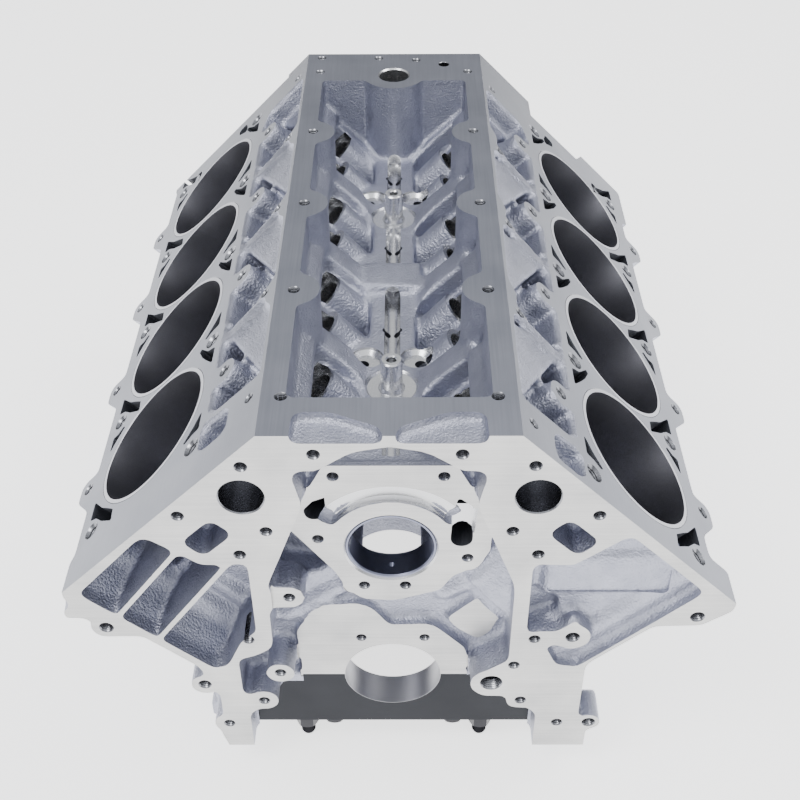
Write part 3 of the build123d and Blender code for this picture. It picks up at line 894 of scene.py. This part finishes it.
    def deck_forms(self, fill: Shells, side: int) -> None:
        """Adds the roofs, ridges, tabs and boss flanks inside one bank's deck pockets.

        Args:
            fill: Takes the shells.
            side: 1 for the right bank, -1 for the left.
        """
        deck = bank_plane(side)
        stations = LAYOUT.bolts(side)
        for b in stations[1:4]:
            fill.wedge(deck, [(b - 5, -69, -44, -2), (b - 9, -120, -44, -3),
                              (b - 96, -120, -44, -7)])
            fill.rod(deck.at(b - 1, -104, -4.5) / MM, deck.at(b - 5, -73, -4.5) / MM, (4.2, 3.6))
            fill.prism(deck, [(b + 12, -122, 0), (b - 6, -122, 0), (b, -102, 3)], -26, 2)
        last = stations[4]
        fill.prism(deck, [(last - 31, -66, 0), (last - 31, -70, 0), (last - 18, -74, 3),
                          (last - 9, -80, 3), (last - 9, -66, 0)], -40, 2)
        fill.wedge(deck, [(last - 12, -71, -44, -16), (last - 10, -120, -44, -16),
                          (last - 75, -120, -44, -24)])
        for y in LAYOUT.bores(side):
            fill.turned(deck, y + 2, -78, [(ALLOWANCE, 0), (ALLOWANCE, 9.5), (-12, 11.5), (-30, 20),
                                           (-42, 24), (-42, 0)], 32)
        if side > 0:
            fill.prism(deck, [(448, 66, 0), (454, 77.5, 4), (515.5, 79, 2), (515.5, 66, 0)], -26, 2)
        columns = [y for y in stations if y < LENGTH - 13]
        for y in columns:
            fill.turned(deck, y, 55, [(-8, 0), (-8, 12.5), (-122, 12.5), (-122, 0)], 28)

    def plugs(self, fill: Shells) -> None:
        """Fills every machined bore, so that it can be cut again in the solid skin.

        Args:
            fill: Takes the shells.
        """
        rise = ALLOWANCE
        for side in SIDES:
            deck, tower = bank_plane(side), lifter_plane(side)
            for y in LAYOUT.bores(side):
                r = self.bore_radius + 2
                fill.turned(deck, y, 0, [(rise, 0), (rise, r), (-self.liner_depth, r),
                                         (-self.liner_depth, 0)], 64)
            for y in LAYOUT.bolts(side):
                for u in (-55, 55):
                    fill.turned(deck, y, u, [(rise, 0), (rise, 8), (-62, 8), (-62, 0)], 20)
            for y in LAYOUT.lifters(side):
                fill.turned(tower, y, 0, [(80, 0), (80, 12.5), (34, 12.5), (34, 0)], 24)
        for x, z in PORTS:
            fill.turned(FRONT, x, z, [(rise, 0), (rise, 16), (-26, 16), (-26, 0)])
        for x, z in BELL_HOLES:
            fill.turned(REAR, x, z, [(rise, 0), (rise, 8), (-30, 8), (-30, 0)], 20)
        for x, z in GALLERIES:
            fill.turned(REAR, x, z, [(rise, 0), (rise, 11), (-32, 11), (-32, 0)], 24)
        fill.turned(RAIL, 0, SENSOR_Y, [(rise, 0), (rise, 15), (-57, 15), (-57, 0)], 32)
        half = self.web_half
        for y in LAYOUT.mains():
            fill.turned(FRONT, 0, 0, [(-y + half, 0), (-y + half, 37), (-y - half, 37),
                                      (-y - half, 0)], 48)
            fill.turned(FRONT, 0, CAM_Z, [(-y + half, 0), (-y + half, 32), (-y - half, 32),
                                          (-y - half, 0)], 48)
            block = [(-107, -64, 0), (107, -64, 0), (107, 3, 0), (-107, 3, 0)]
            fill.prism(FRONT, block, -y - half, -y + half)
        fill.turned(FRONT, 0, 0, [(-490, 0), (-490, 54), (-LENGTH - rise, 54), (-LENGTH - rise, 0)],
                    48)
        fill.turned(FRONT, 0, CAM_Z, [(-480, 0), (-480, 32), (-LENGTH - rise, 32),
                                      (-LENGTH - rise, 0)], 48)

    def melt(self, extra: Shells) -> None:
        """Unites stock and shells in one skin with cast corners.

        Args:
            extra: The shells.
        """
        obj = extra.mesh_object("extra")
        bm = bmesh.new()
        bm.from_mesh(self.body.data)
        bm.from_mesh(obj.data)
        bm.to_mesh(self.body.data)
        bm.free()
        bpy.data.objects.remove(obj)
        skin = self.body.modifiers.new("skin", "REMESH")
        skin.mode = "VOXEL"
        skin.voxel_size = self.voxel * MM
        soften = self.body.modifiers.new("cast_corners", "SMOOTH")
        soften.factor = 0.5
        soften.iterations = 5
        keep_mesh(self.body)
        faces = len(self.body.data.polygons) * 2
        thin = self.body.modifiers.new("thin", "DECIMATE")
        thin.ratio = min(1.0, self.triangles / faces)
        keep_mesh(self.body)
        LOG.info("skin of %d faces, thinned to %d", faces, len(self.body.data.polygons))

    def face_off(self) -> None:
        """Takes the allowance off all outer faces."""
        box = Shells()
        edge = self.reach
        low = math.sqrt(2) * DECK - edge
        shoulder = math.sqrt(2) * DECK - RAIL_Z
        box.prism(FRONT, [(-edge, PAN_Z, 0), (edge, PAN_Z, 0), (edge, low, 0),
                          (shoulder, RAIL_Z, 0),
                          (-shoulder, RAIL_Z, 0), (-edge, low, 0)], -LENGTH, 0)
        obj = box.mesh_object("facing")
        for finish in (Finish.FACED, Finish.DECKED, Finish.RAILED_PAINTED_LIGHTER):
            obj.data.materials.append(self.materials[finish])
        for face in obj.data.polygons:
            normal = face.normal
            if abs(normal.y) > 0.9:
                face.material_index = 0
            elif abs(normal.z) > 0.9:
                # Level faces, rail tops and the pan face, take the deck's metal painted a shade
                # lighter: painted light.
                face.material_index = 2
            else:
                face.material_index = 1
        cut_with(self.body, obj, "INTERSECT")
        notches = Shells()
        notches.prism(bank_plane(1), [(495.5, -56, 0), (530, -56, 0), (530, 96, 0), (515.5, 96, 0),
                                      (515.5, 20, 0), (497.5, 10, 3)], -26, 4)
        notches.prism(bank_plane(-1), [(517, -96, 0), (530, -96, 0), (530, 96, 0), (517, 96, 0)],
                      -26, 4)
        self.machine("rear_notches", notches, Finish.CAST)

    def line_bore(self) -> None:
        """Bores cylinders, cam and crank lines, rear seal seat and lifters."""
        bores, lines, lifters = Shells(), Shells(), Shells()
        for side in SIDES:
            for y in LAYOUT.bores(side):
                r = self.bore_radius
                bores.turned(bank_plane(side), y, 0,
                             [(6, 0), (6, r + 0.5), (0, r + 0.5), (-0.5, r),
                              (-self.liner_depth - 2, r), (-self.liner_depth - 2, 0)], 96)
            for y in LAYOUT.lifters(side):
                lifters.turned(lifter_plane(side), y, 0, [(84, 0), (84, 16.5), (76, 16.5),
                                                          (76, 11.4), (75.3, self.lifter_radius),
                                                          (27, self.lifter_radius), (27, 0)], 32)
        lines.turned(FRONT, 0, 0, [(8, 0), (8, self.main_radius), (-490.2, self.main_radius),
                                   (-490.2, self.seal_radius), (-LENGTH - 8, self.seal_radius),
                                   (-LENGTH - 8, 0)], 72)
        cam = self.cam_radius
        lines.turned(FRONT, 0, CAM_Z, [(8, 0), (8, cam + 1.6), (-PLATE_Y, cam + 1.6),
                                       (-PLATE_Y - 1.6, cam),
                                       (-LENGTH - 8, cam), (-LENGTH - 8, 0)], 72)
        self.machine("cylinder_boring", bores, Finish.DRILLED)
        self.machine("line_boring", lines, Finish.REAMED)
        self.machine("lifter_boring", lifters, Finish.REAMED)
        half = self.cap_seat_half
        seat = Shells()
        seat.prism(FRONT, [(-66, 0, 0), (66, 0, 0), (66, -8, 0), (half, -8, 0), (half, -70, 0),
                           (-half, -70, 0), (-half, -8, 0), (-66, -8, 0)], -LENGTH - 6, -18.6)
        self.machine("cap_seats", seat, Finish.FACED)
        spots = Shells()
        for side in SIDES:
            for y in LAYOUT.mains():
                spots.turned(skirt_plane(side), y, SIDE_BOLT_Z,
                             [(12, 0), (12, 9.6), (0, 9.2), (0, 0)], 32)
        self.machine("spot_facing", spots, Finish.REAMED)

    def front_faces(self) -> None:
        """Machines the pads inside the front flange, and mills the cam plate."""
        plate = Shells()
        plate.prism(FRONT, [(-43, 212, 0), (43, 212, 0), (58.5, 180, 10), (67.5, 156, 0),
                            (67.5, 133, 6),
                            (58, 116, 6), (43, 106.5, 10), (34, 91.5, 3), (2, 80.5, 20),
                            (-20, 82.5, 10),
                            (-31.5, 93, 6), (-39.5, 112, 0), (-67.5, 153, 0), (-58.5, 180, 10)],
                    -PLATE_Y, -13)
        self.machine("plate_milling", plate, Finish.FACED)
        pads = Shells()
        pads.prism(FRONT, [(-67.5, -2, 0), (-67.5, 22, 5), (-69.5, 50, 14), (-53, 77.5, 20),
                           (-18, 83.5, 20),
                           (-1.5, 58.5, 4), (29, 59.5, 14), (54.5, 30, 14), (54.5, -2, 0)], -PAD_Y,
                   -13)
        pads.prism(FRONT, [(58, 87, 4), (76.5, 66, 12), (70.5, 49, 6), (61, 39.5, 0), (46, 51, 4),
                           (36.5, 65, 4)],
                   -PAD_Y, -13)
        pads.prism(FRONT, [(-79.5, 94, 0), (-55, 94, 10), (-55, 118, 10), (-79.5, 118, 0)], -3, 6)
        self.machine("pad_milling", pads, Finish.FACED)
        groove = Shells()
        groove.swept(PLATE, 0, CAM_Z, [(43.3, 1), (57.3, 1), (57.3, -2.5), (56, -5.4), (53, -7),
                                       (48, -7), (44.8, -5.4), (43.3, -2.5)], 37, 106, 40)
        self.machine("oil_groove", groove, Finish.REAMED)
        pocket = Shells()
        pocket.prism(PLATE, [(-56.5, 171, 5), (-54, 162.5, 5), (-45, 163, 4), (-41.5, 171, 0),
                             (-42, 182.5, 0), (-50, 179, 3)], -24, 2)
        pocket.prism(PLATE, [(41.2, 171.5, 2), (55.8, 171.5, 2), (43.4, 182.5, 2)], -20, 2)
        pocket.prism(PLATE, [(39.25, 154.5, 7), (39.25, 137, 7), (53.75, 137, 7),
                             (53.75, 154.5, 7)], -34, 2)
        # The pockets take the jacket skin, painted dark as painted shade.
        self.machine("plate_pockets", pocket, Finish.JACKET)
        step = Shells()
        step.prism(PLATE, [(39.4, 150, 0), (54.6, 150, 0), (56.4, 172.5, 0), (40.6, 172.5, 0)],
                   -5.5, 2)
        self.machine("plate_step", step, Finish.REAMED)
        recess = Shells()
        recess.prism(FRONT, [(104, 105, 4), (185, 105, 4), (185, 129, 4), (104, 129, 4)], -9.4, -4)
        self.machine("bare_plate", recess, Finish.CAST)

    def valley_milling(self) -> None:
        """Mills the spine: groove, post floors, scoops and sensor bore."""
        floors, scoops, groove = Shells(), Shells(), Shells()
        along = Plane(Vector((0, 0, SPINE_Z)), AXIS_X, AXIS_Z, AXIS_Y)
        for y in LAYOUT.posts():
            floors.turned(TOP, 0, y, [(203, 0), (203, 19), (183, 19), (181.4, 17.4), (181.4, 0)],
                          48)
            for side in SIDES:
                scoops.turned(TOP, side * 18, y + 32,
                              [(203, 0), (203, 12), (181, 12), (178, 9), (178, 0)], 36)
        self.machine("post_floors", floors, Finish.REAMED)
        self.machine("scoops", scoops, Finish.REAMED)
        posts = LAYOUT.posts()
        runs = [(58, posts[0] - 14), (posts[0] + 14, 256), (276.6, posts[1] - 14),
                (posts[1] + 14, 459)]
        for start, end in runs:
            groove.turned(along, 0, 0, [(start, 0), (start + 1, 6), (end - 3, 6), (end, 0)], 32)
        self.machine("drain_groove", groove, Finish.REAMED)
        sensor = Shells()
        sensor.turned(RAIL, 0, SENSOR_Y, [(3, 0), (3, 17), (-1.2, 13), (-55, 13), (-55, 0)], 48)
        self.machine("sensor_bore", sensor, Finish.REAMED)
        holes = Shells()
        for y in (posts[0] + 65, posts[1] - 47.5, posts[1] + 65):
            for x in (-4.3, 4.3):
                holes.turned(TOP, x, y, [(190, 0), (190, 3.2), (160, 3.2), (160, 0)], 20)
        for y in posts:
            for side in SIDES:
                holes.turned(TOP, side * 21, y + 30, [(186, 0), (186, 4.4), (165, 4.4), (165, 0)],
                             24)
        # The spine holes take the jacket skin, painted dark as painted shade.
        self.machine("spine_holes", holes, Finish.JACKET)
        turned = Shells()
        for y in posts:
            turned.turned(TOP, 0, y, [(174, 0), (174, 9.4), (182, 9.4), (184.5, 8), (206, 7.7),
                                      (207, 6.8), (207, 4.2), (206, 3.4), (194, 3.4), (192, 0)], 40)
        self.machine("cover_posts", turned, Finish.REAMED, "UNION")

    def deck_slots(self) -> None:
        """Cuts the coolant openings round the bores and the head bolts."""
        wide, fine = Shells(), Shells()
        for side in SIDES:
            deck = bank_plane(side)
            for i, b in enumerate(LAYOUT.bolts(side)):
                wide.prism(deck, [(b - 7, 29.5, 1), (b + 5, 31, 1), (b + 12, 40, 0),
                                  (b + 17, 47, 0),
                                  (b + 30.5, 59.5, 1), (b + 12.5, 59.5, 2), (b + 10, 52, 2),
                                  (b + 2, 43.5, 2)], -26, 2)
                if i == 4:
                    wide.prism(deck, [(b - 6, 31.5, 2), (b + 3, 27, 2), (b + 11.5, 29, 3),
                                      (b + 8, 35, 3), (b - 2, 37, 2)], -14, 1.5)
                if i > 0:
                    fine.prism(deck, [(b - 31, 58.8, 1), (b - 22.5, 53, 0), (b - 13, 45.5, 0),
                                      (b - 10, 47.5, 1),
                                      (b - 14.5, 53, 2), (b - 15, 58.8, 2)], -24, 2)
                    fine.prism(deck, [(b - 29.5, -60, 1), (b - 12, -60, 2), (b - 9.5, -52, 2),
                                      (b + 1, -42.5, 1),
                                      (b - 2, -41, 1), (b - 12, -46, 0), (b - 22, -53.5, 0)], -24,
                               2)
                if i < 4:
                    fine.prism(deck, [(b + 14.5, -59.8, 2), (b + 32, -59.8, 1), (b + 22, -53.5, 0),
                                      (b + 11, -44, 1), (b + 9.5, -46.5, 1), (b + 13, -53, 2)], -24,
                               2)
                else:
                    fine.prism(deck, [(b - 4, -40.5, 2), (b + 4, -41, 3), (b + 14.5, -38, 3),
                                      (b + 12.5, -28, 3), (b + 4, -29, 3)], -14, 1.5)
        # The openings take the jacket skin, painted dark as painted shade.
        cut_with(self.body, self.clear_of_liners(wide, "coolant_slots"))
        cut_with(self.body, self.clear_of_liners(fine, "coolant_slits"))

    def clear_of_liners(self, tool: Shells, name: str) -> bpy.types.Object:
        """Keeps a ring of metal round each liner and each head bolt, whatever the cutter covers.

        Args:
            tool: The cutter.
            name: Its name.

        Returns:
            The trimmed cutter.
        """
        obj = tool.mesh_object(name, self.materials[Finish.JACKET])
        rings, columns = Shells(), Shells()
        for side in SIDES:
            deck = bank_plane(side)
            for y in LAYOUT.bores(side):
                rings.ring(deck, y, 0, [(50, 6), (58.6, 6), (58.6, -30), (50, -30)], 96)
            for y in LAYOUT.bolts(side):
                for u in (-55, 54):
                    columns.turned(deck, y, u, [(6, 0), (6, 8.8), (-30, 8.8), (-30, 0)], 32)
        cut_with(obj, rings.mesh_object("liner_rings", self.materials[Finish.JACKET]))
        cut_with(obj, columns.mesh_object("bolt_columns", self.materials[Finish.JACKET]))
        return obj

    def drill_front(self) -> None:
        """Drills and taps the front face, its two ports, and the pads inside it."""
        front, inner = Shells(), Shells()
        for x, z in FRONT_TAPS:
            front.hole(FRONT, x, z, TAP_COVER)
        for x, z, r in FRONT_HOLES:
            front.hole(FRONT, x, z, r)
        for x, z in PORTS:
            r = self.port_radius
            front.turned(FRONT, x, z, [(1, 0), (1, r + 1.8), (-0.8, r), (-24, r), (-24, 0)], 48)
        inner.hole(FRONT.raised(-3), -68, 106, TAP_COVER)
        for x, z in PLATE_TAPS:
            inner.hole(PLATE, x, z, TAP_SMALL)
        for x, z in PAD_TAPS:
            inner.hole(PAD, x, z, 3.2)
        self.machine("front_drilling", front, Finish.DRILLED)
        self.machine("pad_drilling", inner, Finish.DRILLED)

    def drill_decks(self) -> None:
        """Drills the head bolt holes, and taps the ends and edges of the decks."""
        decks = Shells()
        for side in SIDES:
            deck = bank_plane(side)
            for y in LAYOUT.bolts(side):
                for u in (-55, 54):
                    decks.hole(deck, y, u, self.head_bolt_radius, depth=60, chamfer=1.2)
                if y < LENGTH - 20:
                    decks.hole(deck, y + 1, -112, TAP_SMALL, depth=20)
            for y in LAYOUT.bores(side):
                decks.hole(deck, y, 76.5, TAP_LARGE, depth=26)
                decks.hole(deck, y + 2, -78, TAP_LARGE, depth=26)
        self.machine("deck_drilling", decks, Finish.DRILLED)

    def drill_rails(self) -> None:
        """Taps the rails and the rear plate for the valley cover, and drills its plain hole."""
        rails = Shells()
        for y in RAIL_STATIONS:
            for x in (-66, 66):
                rails.hole(RAIL, x, y, TAP_COVER)
        for x, y in REAR_PLATE_TAPS:
            rails.hole(RAIL, x, y, TAP_SMALL)
        rails.hole(RAIL, 45, 501, 4.6, depth=30, chamfer=0.4, threaded=False)
        self.machine("rail_drilling", rails, Finish.DRILLED)

    def drill_below_and_behind(self) -> None:
        """Drills the pan rails, the bell flange, the galleries and the seal cover's holes."""
        below = Plane(Vector((0, 0, PAN_Z)), AXIS_X, AXIS_Y, -AXIS_Z)
        pan = Shells()
        for y in PAN_STATIONS:
            for x in (-122.0, 122.0):
                pan.hole(below, x, y, TAP_COVER)
        for x, z in BELL_HOLES:
            pan.hole(REAR, x, z, self.bell_bolt_radius, depth=27)
        r = self.gallery_radius
        for x, z in GALLERIES:
            pan.turned(REAR, x, z, [(1, 0), (1, 10.5), (-1, r), (-30, r), (-30, 0)], 40)
        for t in range(6):
            turn = math.radians(60 * t + 30)
            x, z = 66 * math.cos(turn), 66 * math.sin(turn)
            if z > -10:
                pan.hole(REAR, x, z, TAP_SMALL)
        self.machine("pan_and_rear_drilling", pan, Finish.DRILLED)

    def dress(self) -> None:
        """Smooths the cast skin and keeps machined edges sharp."""
        mesh = self.body.data
        bm = bmesh.new()
        bm.from_mesh(mesh)
        cast = [i for i, m in enumerate(mesh.materials) if m and m.name == Finish.CAST.value]
        for face in bm.faces:
            face.smooth = True
        for edge in bm.edges:
            pair = edge.link_faces
            if len(pair) != 2:
                continue
            kinds = [f.material_index in cast for f in pair]
            angle = pair[0].normal.angle(pair[1].normal, 0.0)
            if all(kinds):
                edge.smooth = angle < CAST_EDGE
            else:
                edge.smooth = kinds[0] == kinds[1] and angle <= CUT_EDGE
        bm.to_mesh(mesh)
        bm.free()

    def build(self, source: bpy.types.Object) -> bpy.types.Object:
        """Makes the whole casting.

        Args:
            source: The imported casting.

        Returns:
            The finished piece.
        """
        self.stock(source)
        self.valley_cores()
        self.core_out()
        extra = Shells()
        self.plugs(extra)
        self.cast_forms(extra)
        self.valley_forms(extra)
        self.melt(extra)
        self.face_off()
        self.line_bore()
        self.front_faces()
        self.valley_milling()
        self.deck_slots()
        self.drill_front()
        self.drill_decks()
        self.drill_rails()
        self.drill_below_and_behind()
        self.dress()
        return self.body


@dataclass
class Hardware:
    """Nuts, bolts, studs and bushes that hold the main caps and carry the camshaft."""

    steel: bpy.types.Material
    bush: bpy.types.Material
    inner_x: float = 45.5
    outer_x: float = 67.0
    nut_flats: float = 17.0
    dome_base: float = 9.0
    nut_height: float = 15.0
    bolt_flats: float = 13.0
    bush_outer: float = 29.87
    bush_inner: float = 27.87

    def smooth(self, obj: bpy.types.Object, limit: float = 30.0) -> bpy.types.Object:
        """Shades an object smooth, with its sharper edges kept.

        Args:
            obj: The object.
            limit: Angle past which an edge stays sharp, in degrees.

        Returns:
            The same object.
        """
        bm = bmesh.new()
        bm.from_mesh(obj.data)
        for face in bm.faces:
            face.smooth = True
        for edge in bm.edges:
            pair = edge.link_faces
            if len(pair) == 2:
                edge.smooth = pair[0].normal.angle(pair[1].normal, 0.0) < math.radians(limit)
        bm.to_mesh(obj.data)
        bm.free()
        return obj

    def hexes(self, name: str, places: Sequence[tuple[Plane, float, float]], flats: float,
              low: float, high: float, crown: Profile) -> bpy.types.Object:
        """Makes hexagon heads whose corners are turned off.

        Args:
            name: The piece's name.
            places: Plane and place of each.
            flats: Width across the flats.
            low: Lift of the seat.
            high: Lift of the flat top.
            crown: Lift and radius of the turned outline that takes the corners off.

        Returns:
            The piece.
        """
        prisms, cones = Shells(), Shells()
        across = flats / math.sqrt(3)
        for plane, a, b in places:
            turns = [math.radians(60 * k) for k in range(6)]
            corners = [(a + across * math.cos(t), b + across * math.sin(t), 0) for t in turns]
            prisms.prism(plane, corners, low, high)
            cones.turned(plane, a, b, crown, 40)
        obj = prisms.mesh_object(name, self.steel)
        cut_with(obj, cones.mesh_object("crowns", self.steel), "INTERSECT")
        return self.smooth(obj)

    def cap_places(self, x: float) -> list[tuple[Plane, float, float]]:
        """Returns the places of a row of fasteners under the caps."""
        return [(CAP_FACE, side * x, y) for y in LAYOUT.mains() for side in SIDES]

    def inner_bolts(self) -> bpy.types.Object:
        """Makes the domed nuts of the inner main studs.

        Returns:
            The piece.
        """
        places = self.cap_places(self.inner_x)
        obj = self.hexes("inner_main_bolts_dressed", places, self.nut_flats, 0.0, self.dome_base,
                         [(-1, 0), (-1, 8.6), (0, 8.6), (1.6, 9.9), (7.2, 9.9), (9.0, 8.4),
                          (9.5, 0)])
        domes = Shells()
        for plane, a, b in places:
            domes.turned(plane, a, b, [(4, 0), (4, 7.4), (9, 7.4), (12, 6.2), (14, 4.0),
                                       (14.9, 1.8), (15, 0)], 32)
        cut_with(obj, domes.mesh_object("domes", self.steel), "UNION")
        return self.smooth(obj)

    def outer_nuts(self) -> bpy.types.Object:
        """Makes the nuts of the outer main studs, each with its washer face.

        Returns:
            The piece.
        """
        return self.hexes("outer_main_nuts_dressed", self.cap_places(self.outer_x),
                          self.nut_flats, 0.0, self.nut_height,
                          [(-1, 0), (-1, 8.3), (0.8, 8.3), (2.4, 9.9), (13.2, 9.9), (15.0, 8.3),
                           (15.5, 0)])

    def studs(self) -> bpy.types.Object:
        """Makes the threaded tips of the outer main studs.

        Returns:
            The piece.
        """
        shells = Shells()
        for plane, a, b in self.cap_places(self.outer_x):
            profile = [(15.0, 0.0), (15.0, 5.1)]
            for turn in range(9):
                lift = 15.4 + 1.4 * turn
                profile += [(lift, 5.5), (lift + 0.7, 4.85)]
            profile += [(28.6, 4.7), (29.7, 3.6), (30.1, 0.0)]
            shells.turned(plane, a, b, profile, 28)
        return self.smooth(shells.mesh_object("outer_main_studs_dressed", self.steel), 50)

    def side_bolts(self) -> bpy.types.Object:
        """Makes the flanged cross bolts on the outside of the skirts.

        Returns:
            The piece.
        """
        places = [(skirt_plane(side), y, SIDE_BOLT_Z) for y in LAYOUT.mains() for side in SIDES]
        obj = self.hexes("side_bolts_dressed", places, self.bolt_flats, 1.2, 9.0,
                         [(0.5, 0), (0.5, 8), (7.4, 7.6), (9.0, 6.3), (9.4, 0)])
        flanges = Shells()
        for plane, a, b in places:
            flanges.turned(plane, a, b, [(0, 0), (0, 8.7), (1.0, 8.7), (2.2, 7.2), (3, 6.0),
                                         (3, 0)], 36)
        cut_with(obj, flanges.mesh_object("flanges", self.steel), "UNION")
        return self.smooth(obj)

    def cam_bushes(self) -> bpy.types.Object:
        """Makes the cam bushes, with chamfered rims and an oil hole each.

        Returns:
            The piece.
        """
        rings, holes = Shells(), Shells()
        outer, inner = self.bush_outer, self.bush_inner
        for y in LAYOUT.mains():
            rings.ring(FRONT, 0, CAM_Z, [(outer, -y + 10), (28.7, -y + 10), (inner, -y + 9),
                                         (inner, -y - 9), (28.7, -y - 10), (outer, -y - 10)], 96)
            place = Plane(Vector((0, 0, CAM_Z)), AXIS_X, AXIS_Y, -AXIS_Z)
            holes.turned(place, 0, y, [(20, 0), (20, 2.0), (34, 2.0), (34, 0)], 20)
        obj = rings.mesh_object("cam_bearings_dressed", self.bush)
        cut_with(obj, holes.mesh_object("oil_holes", self.bush))
        return self.smooth(obj)


@dataclass
class Studio:
    """White board, soft light and the photograph's camera."""

    floor_z: float = -87.6
    floor_size: float = 8.0
    floor_glow: float = 1.9
    lens: float = 53.146
    place: tuple[float, float, float] = (9.879, -510.342, 716.667)
    turn: tuple[float, float, float] = (0.8646254, 0.0045880, 0.0024070)

    def camera(self) -> None:
        """Puts the camera where the photograph was taken from."""
        data = bpy.data.cameras.new("camera")
        data.sensor_width = 36.0
        data.lens = self.lens
        data.clip_start = 0.01
        obj = bpy.data.objects.new("camera", data)
        obj.location = Vector(self.place) * MM
        obj.rotation_euler = self.turn
        bpy.context.scene.collection.objects.link(obj)
        bpy.context.scene.camera = obj

    def floor(self) -> None:
        """Lays a lit white board under the lowest stud tips."""
        bm = bmesh.new()
        bmesh.ops.create_grid(bm, x_segments=1, y_segments=1, size=self.floor_size,
                              matrix=Matrix.Translation((0, 0, self.floor_z * MM)))
        floor = new_object("floor", bm)
        # Matt white board, lit as if from behind: it shows no grain, and throws light up into the
        # bores.
        material = bpy.data.materials.new("lit_white_board")
        material.use_nodes = True
        shader = material.node_tree.nodes["Principled BSDF"]
        shader.inputs["Base Color"].default_value = linear("#DADADA")
        shader.inputs["Roughness"].default_value = 0.9
        shader.inputs["Specular IOR Level"].default_value = 0.1
        shader.inputs["Emission Color"].default_value = linear("#FFFFFF")
        shader.inputs["Emission Strength"].default_value = self.floor_glow
        floor.data.materials.append(material)

    def light(self) -> None:
        """Lights the set: a sky that is brighter in front and overhead than behind."""
        world = bpy.data.worlds.new("studio")
        bpy.context.scene.world = world
        world.use_nodes = True
        tree = world.node_tree
        tree.nodes.clear()
        place = add_node(tree, "ShaderNodeTexCoord").outputs["Generated"]
        split = add_node(tree, "ShaderNodeSeparateXYZ", Vector=place)
        rise = add_node(tree, "ShaderNodeMapRange", {"interpolation_type": "SMOOTHSTEP"},
                        Value=split.outputs["Z"], From_Min=0.0, From_Max=0.95,
                        To_Min=0.14, To_Max=1.2)
        ahead = add_node(tree, "ShaderNodeMapRange", {"interpolation_type": "SMOOTHSTEP"},
                         Value=split.outputs["Y"], From_Min=0.3, From_Max=-0.7,
                         To_Min=0.0, To_Max=0.4)
        total = add_node(tree, "ShaderNodeMath", {"operation": "ADD"}, i0=rise.outputs["Result"],
                         i1=ahead.outputs["Result"])
        back = add_node(tree, "ShaderNodeBackground", Color=linear("#FAFCFF"),
                        Strength=total.outputs["Value"])
        out = add_node(tree, "ShaderNodeOutputWorld", Surface=back.outputs["Background"])
        out.is_active_output = True
        self.softbox("key_softbox", (-0.9, -0.6, 1.7), 0.9, 24.0)
        self.softbox("fill_softbox", (1.1, 0.4, 1.6), 0.8, 16.0)

    def softbox(self, name: str, place: tuple[float, float, float], size: float,
                power: float) -> None:
        """Hangs a square softbox that faces the block.

        Args:
            name: The light's name.
            place: Where it hangs, in metres.
            size: Its width.
            power: Its power in watts.
        """
        data = bpy.data.lights.new(name, "AREA")
        data.size = size
        data.energy = power
        obj = bpy.data.objects.new(name, data)
        obj.location = place
        aim = Vector((0, 0.26, 0.1)) - Vector(place)
        obj.rotation_euler = aim.to_track_quat("-Z", "Y").to_euler()
        bpy.context.scene.collection.objects.link(obj)


def set_material(obj: bpy.types.Object, material: bpy.types.Material) -> None:
    """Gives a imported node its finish."""
    obj.data.materials.clear()
    obj.data.materials.append(material)


def main() -> None:
    """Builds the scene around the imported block."""
    logging.basicConfig(level=logging.INFO, format="%(name)s: %(message)s")
    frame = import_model()
    studio = Studio()
    studio.camera()
    studio.floor()
    studio.light()
    LOG.info("studio: camera, white board, sky and two softboxes")
    materials = {finish: maker.build() for finish, maker in FINISHES.items()}
    casting = Casting(materials).build(frame["nodes"]["block_casting"])
    plug = PLUG_ZINC.build()
    finishes = {"liner_right": liner_iron("right", 1).build(),
                "liner_left": liner_iron("left", -1).build(),
                "main_cap": CAP_STEEL.build(), "cam_plug": plug, "gallery": plug}
    for name, obj in frame["nodes"].items():
        for key, material in finishes.items():
            if name.startswith(key):
                set_material(obj, material)
                LOG.info("%s, finished in %s", name, material.name)
    hardware = Hardware(BOLT_STEEL.build(), BUSH_TIN.build())
    dressed = {"block_casting": (casting, "cast_alloy"),
               "inner_main_bolts": (hardware.inner_bolts(), "bolt_steel"),
               "outer_main_nuts": (hardware.outer_nuts(), "bolt_steel"),
               "outer_main_studs": (hardware.studs(), "bolt_steel"),
               "side_bolts": (hardware.side_bolts(), "bolt_steel"),
               "cam_bearings": (hardware.cam_bushes(), "bush_metal")}
    for node, (piece, slot) in dressed.items():
        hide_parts(node)
        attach(piece, "root")
        LOG.info("%s, shown as %s, of %d faces", node, piece.name, len(piece.data.polygons))


if __name__ == "__main__":
    main()
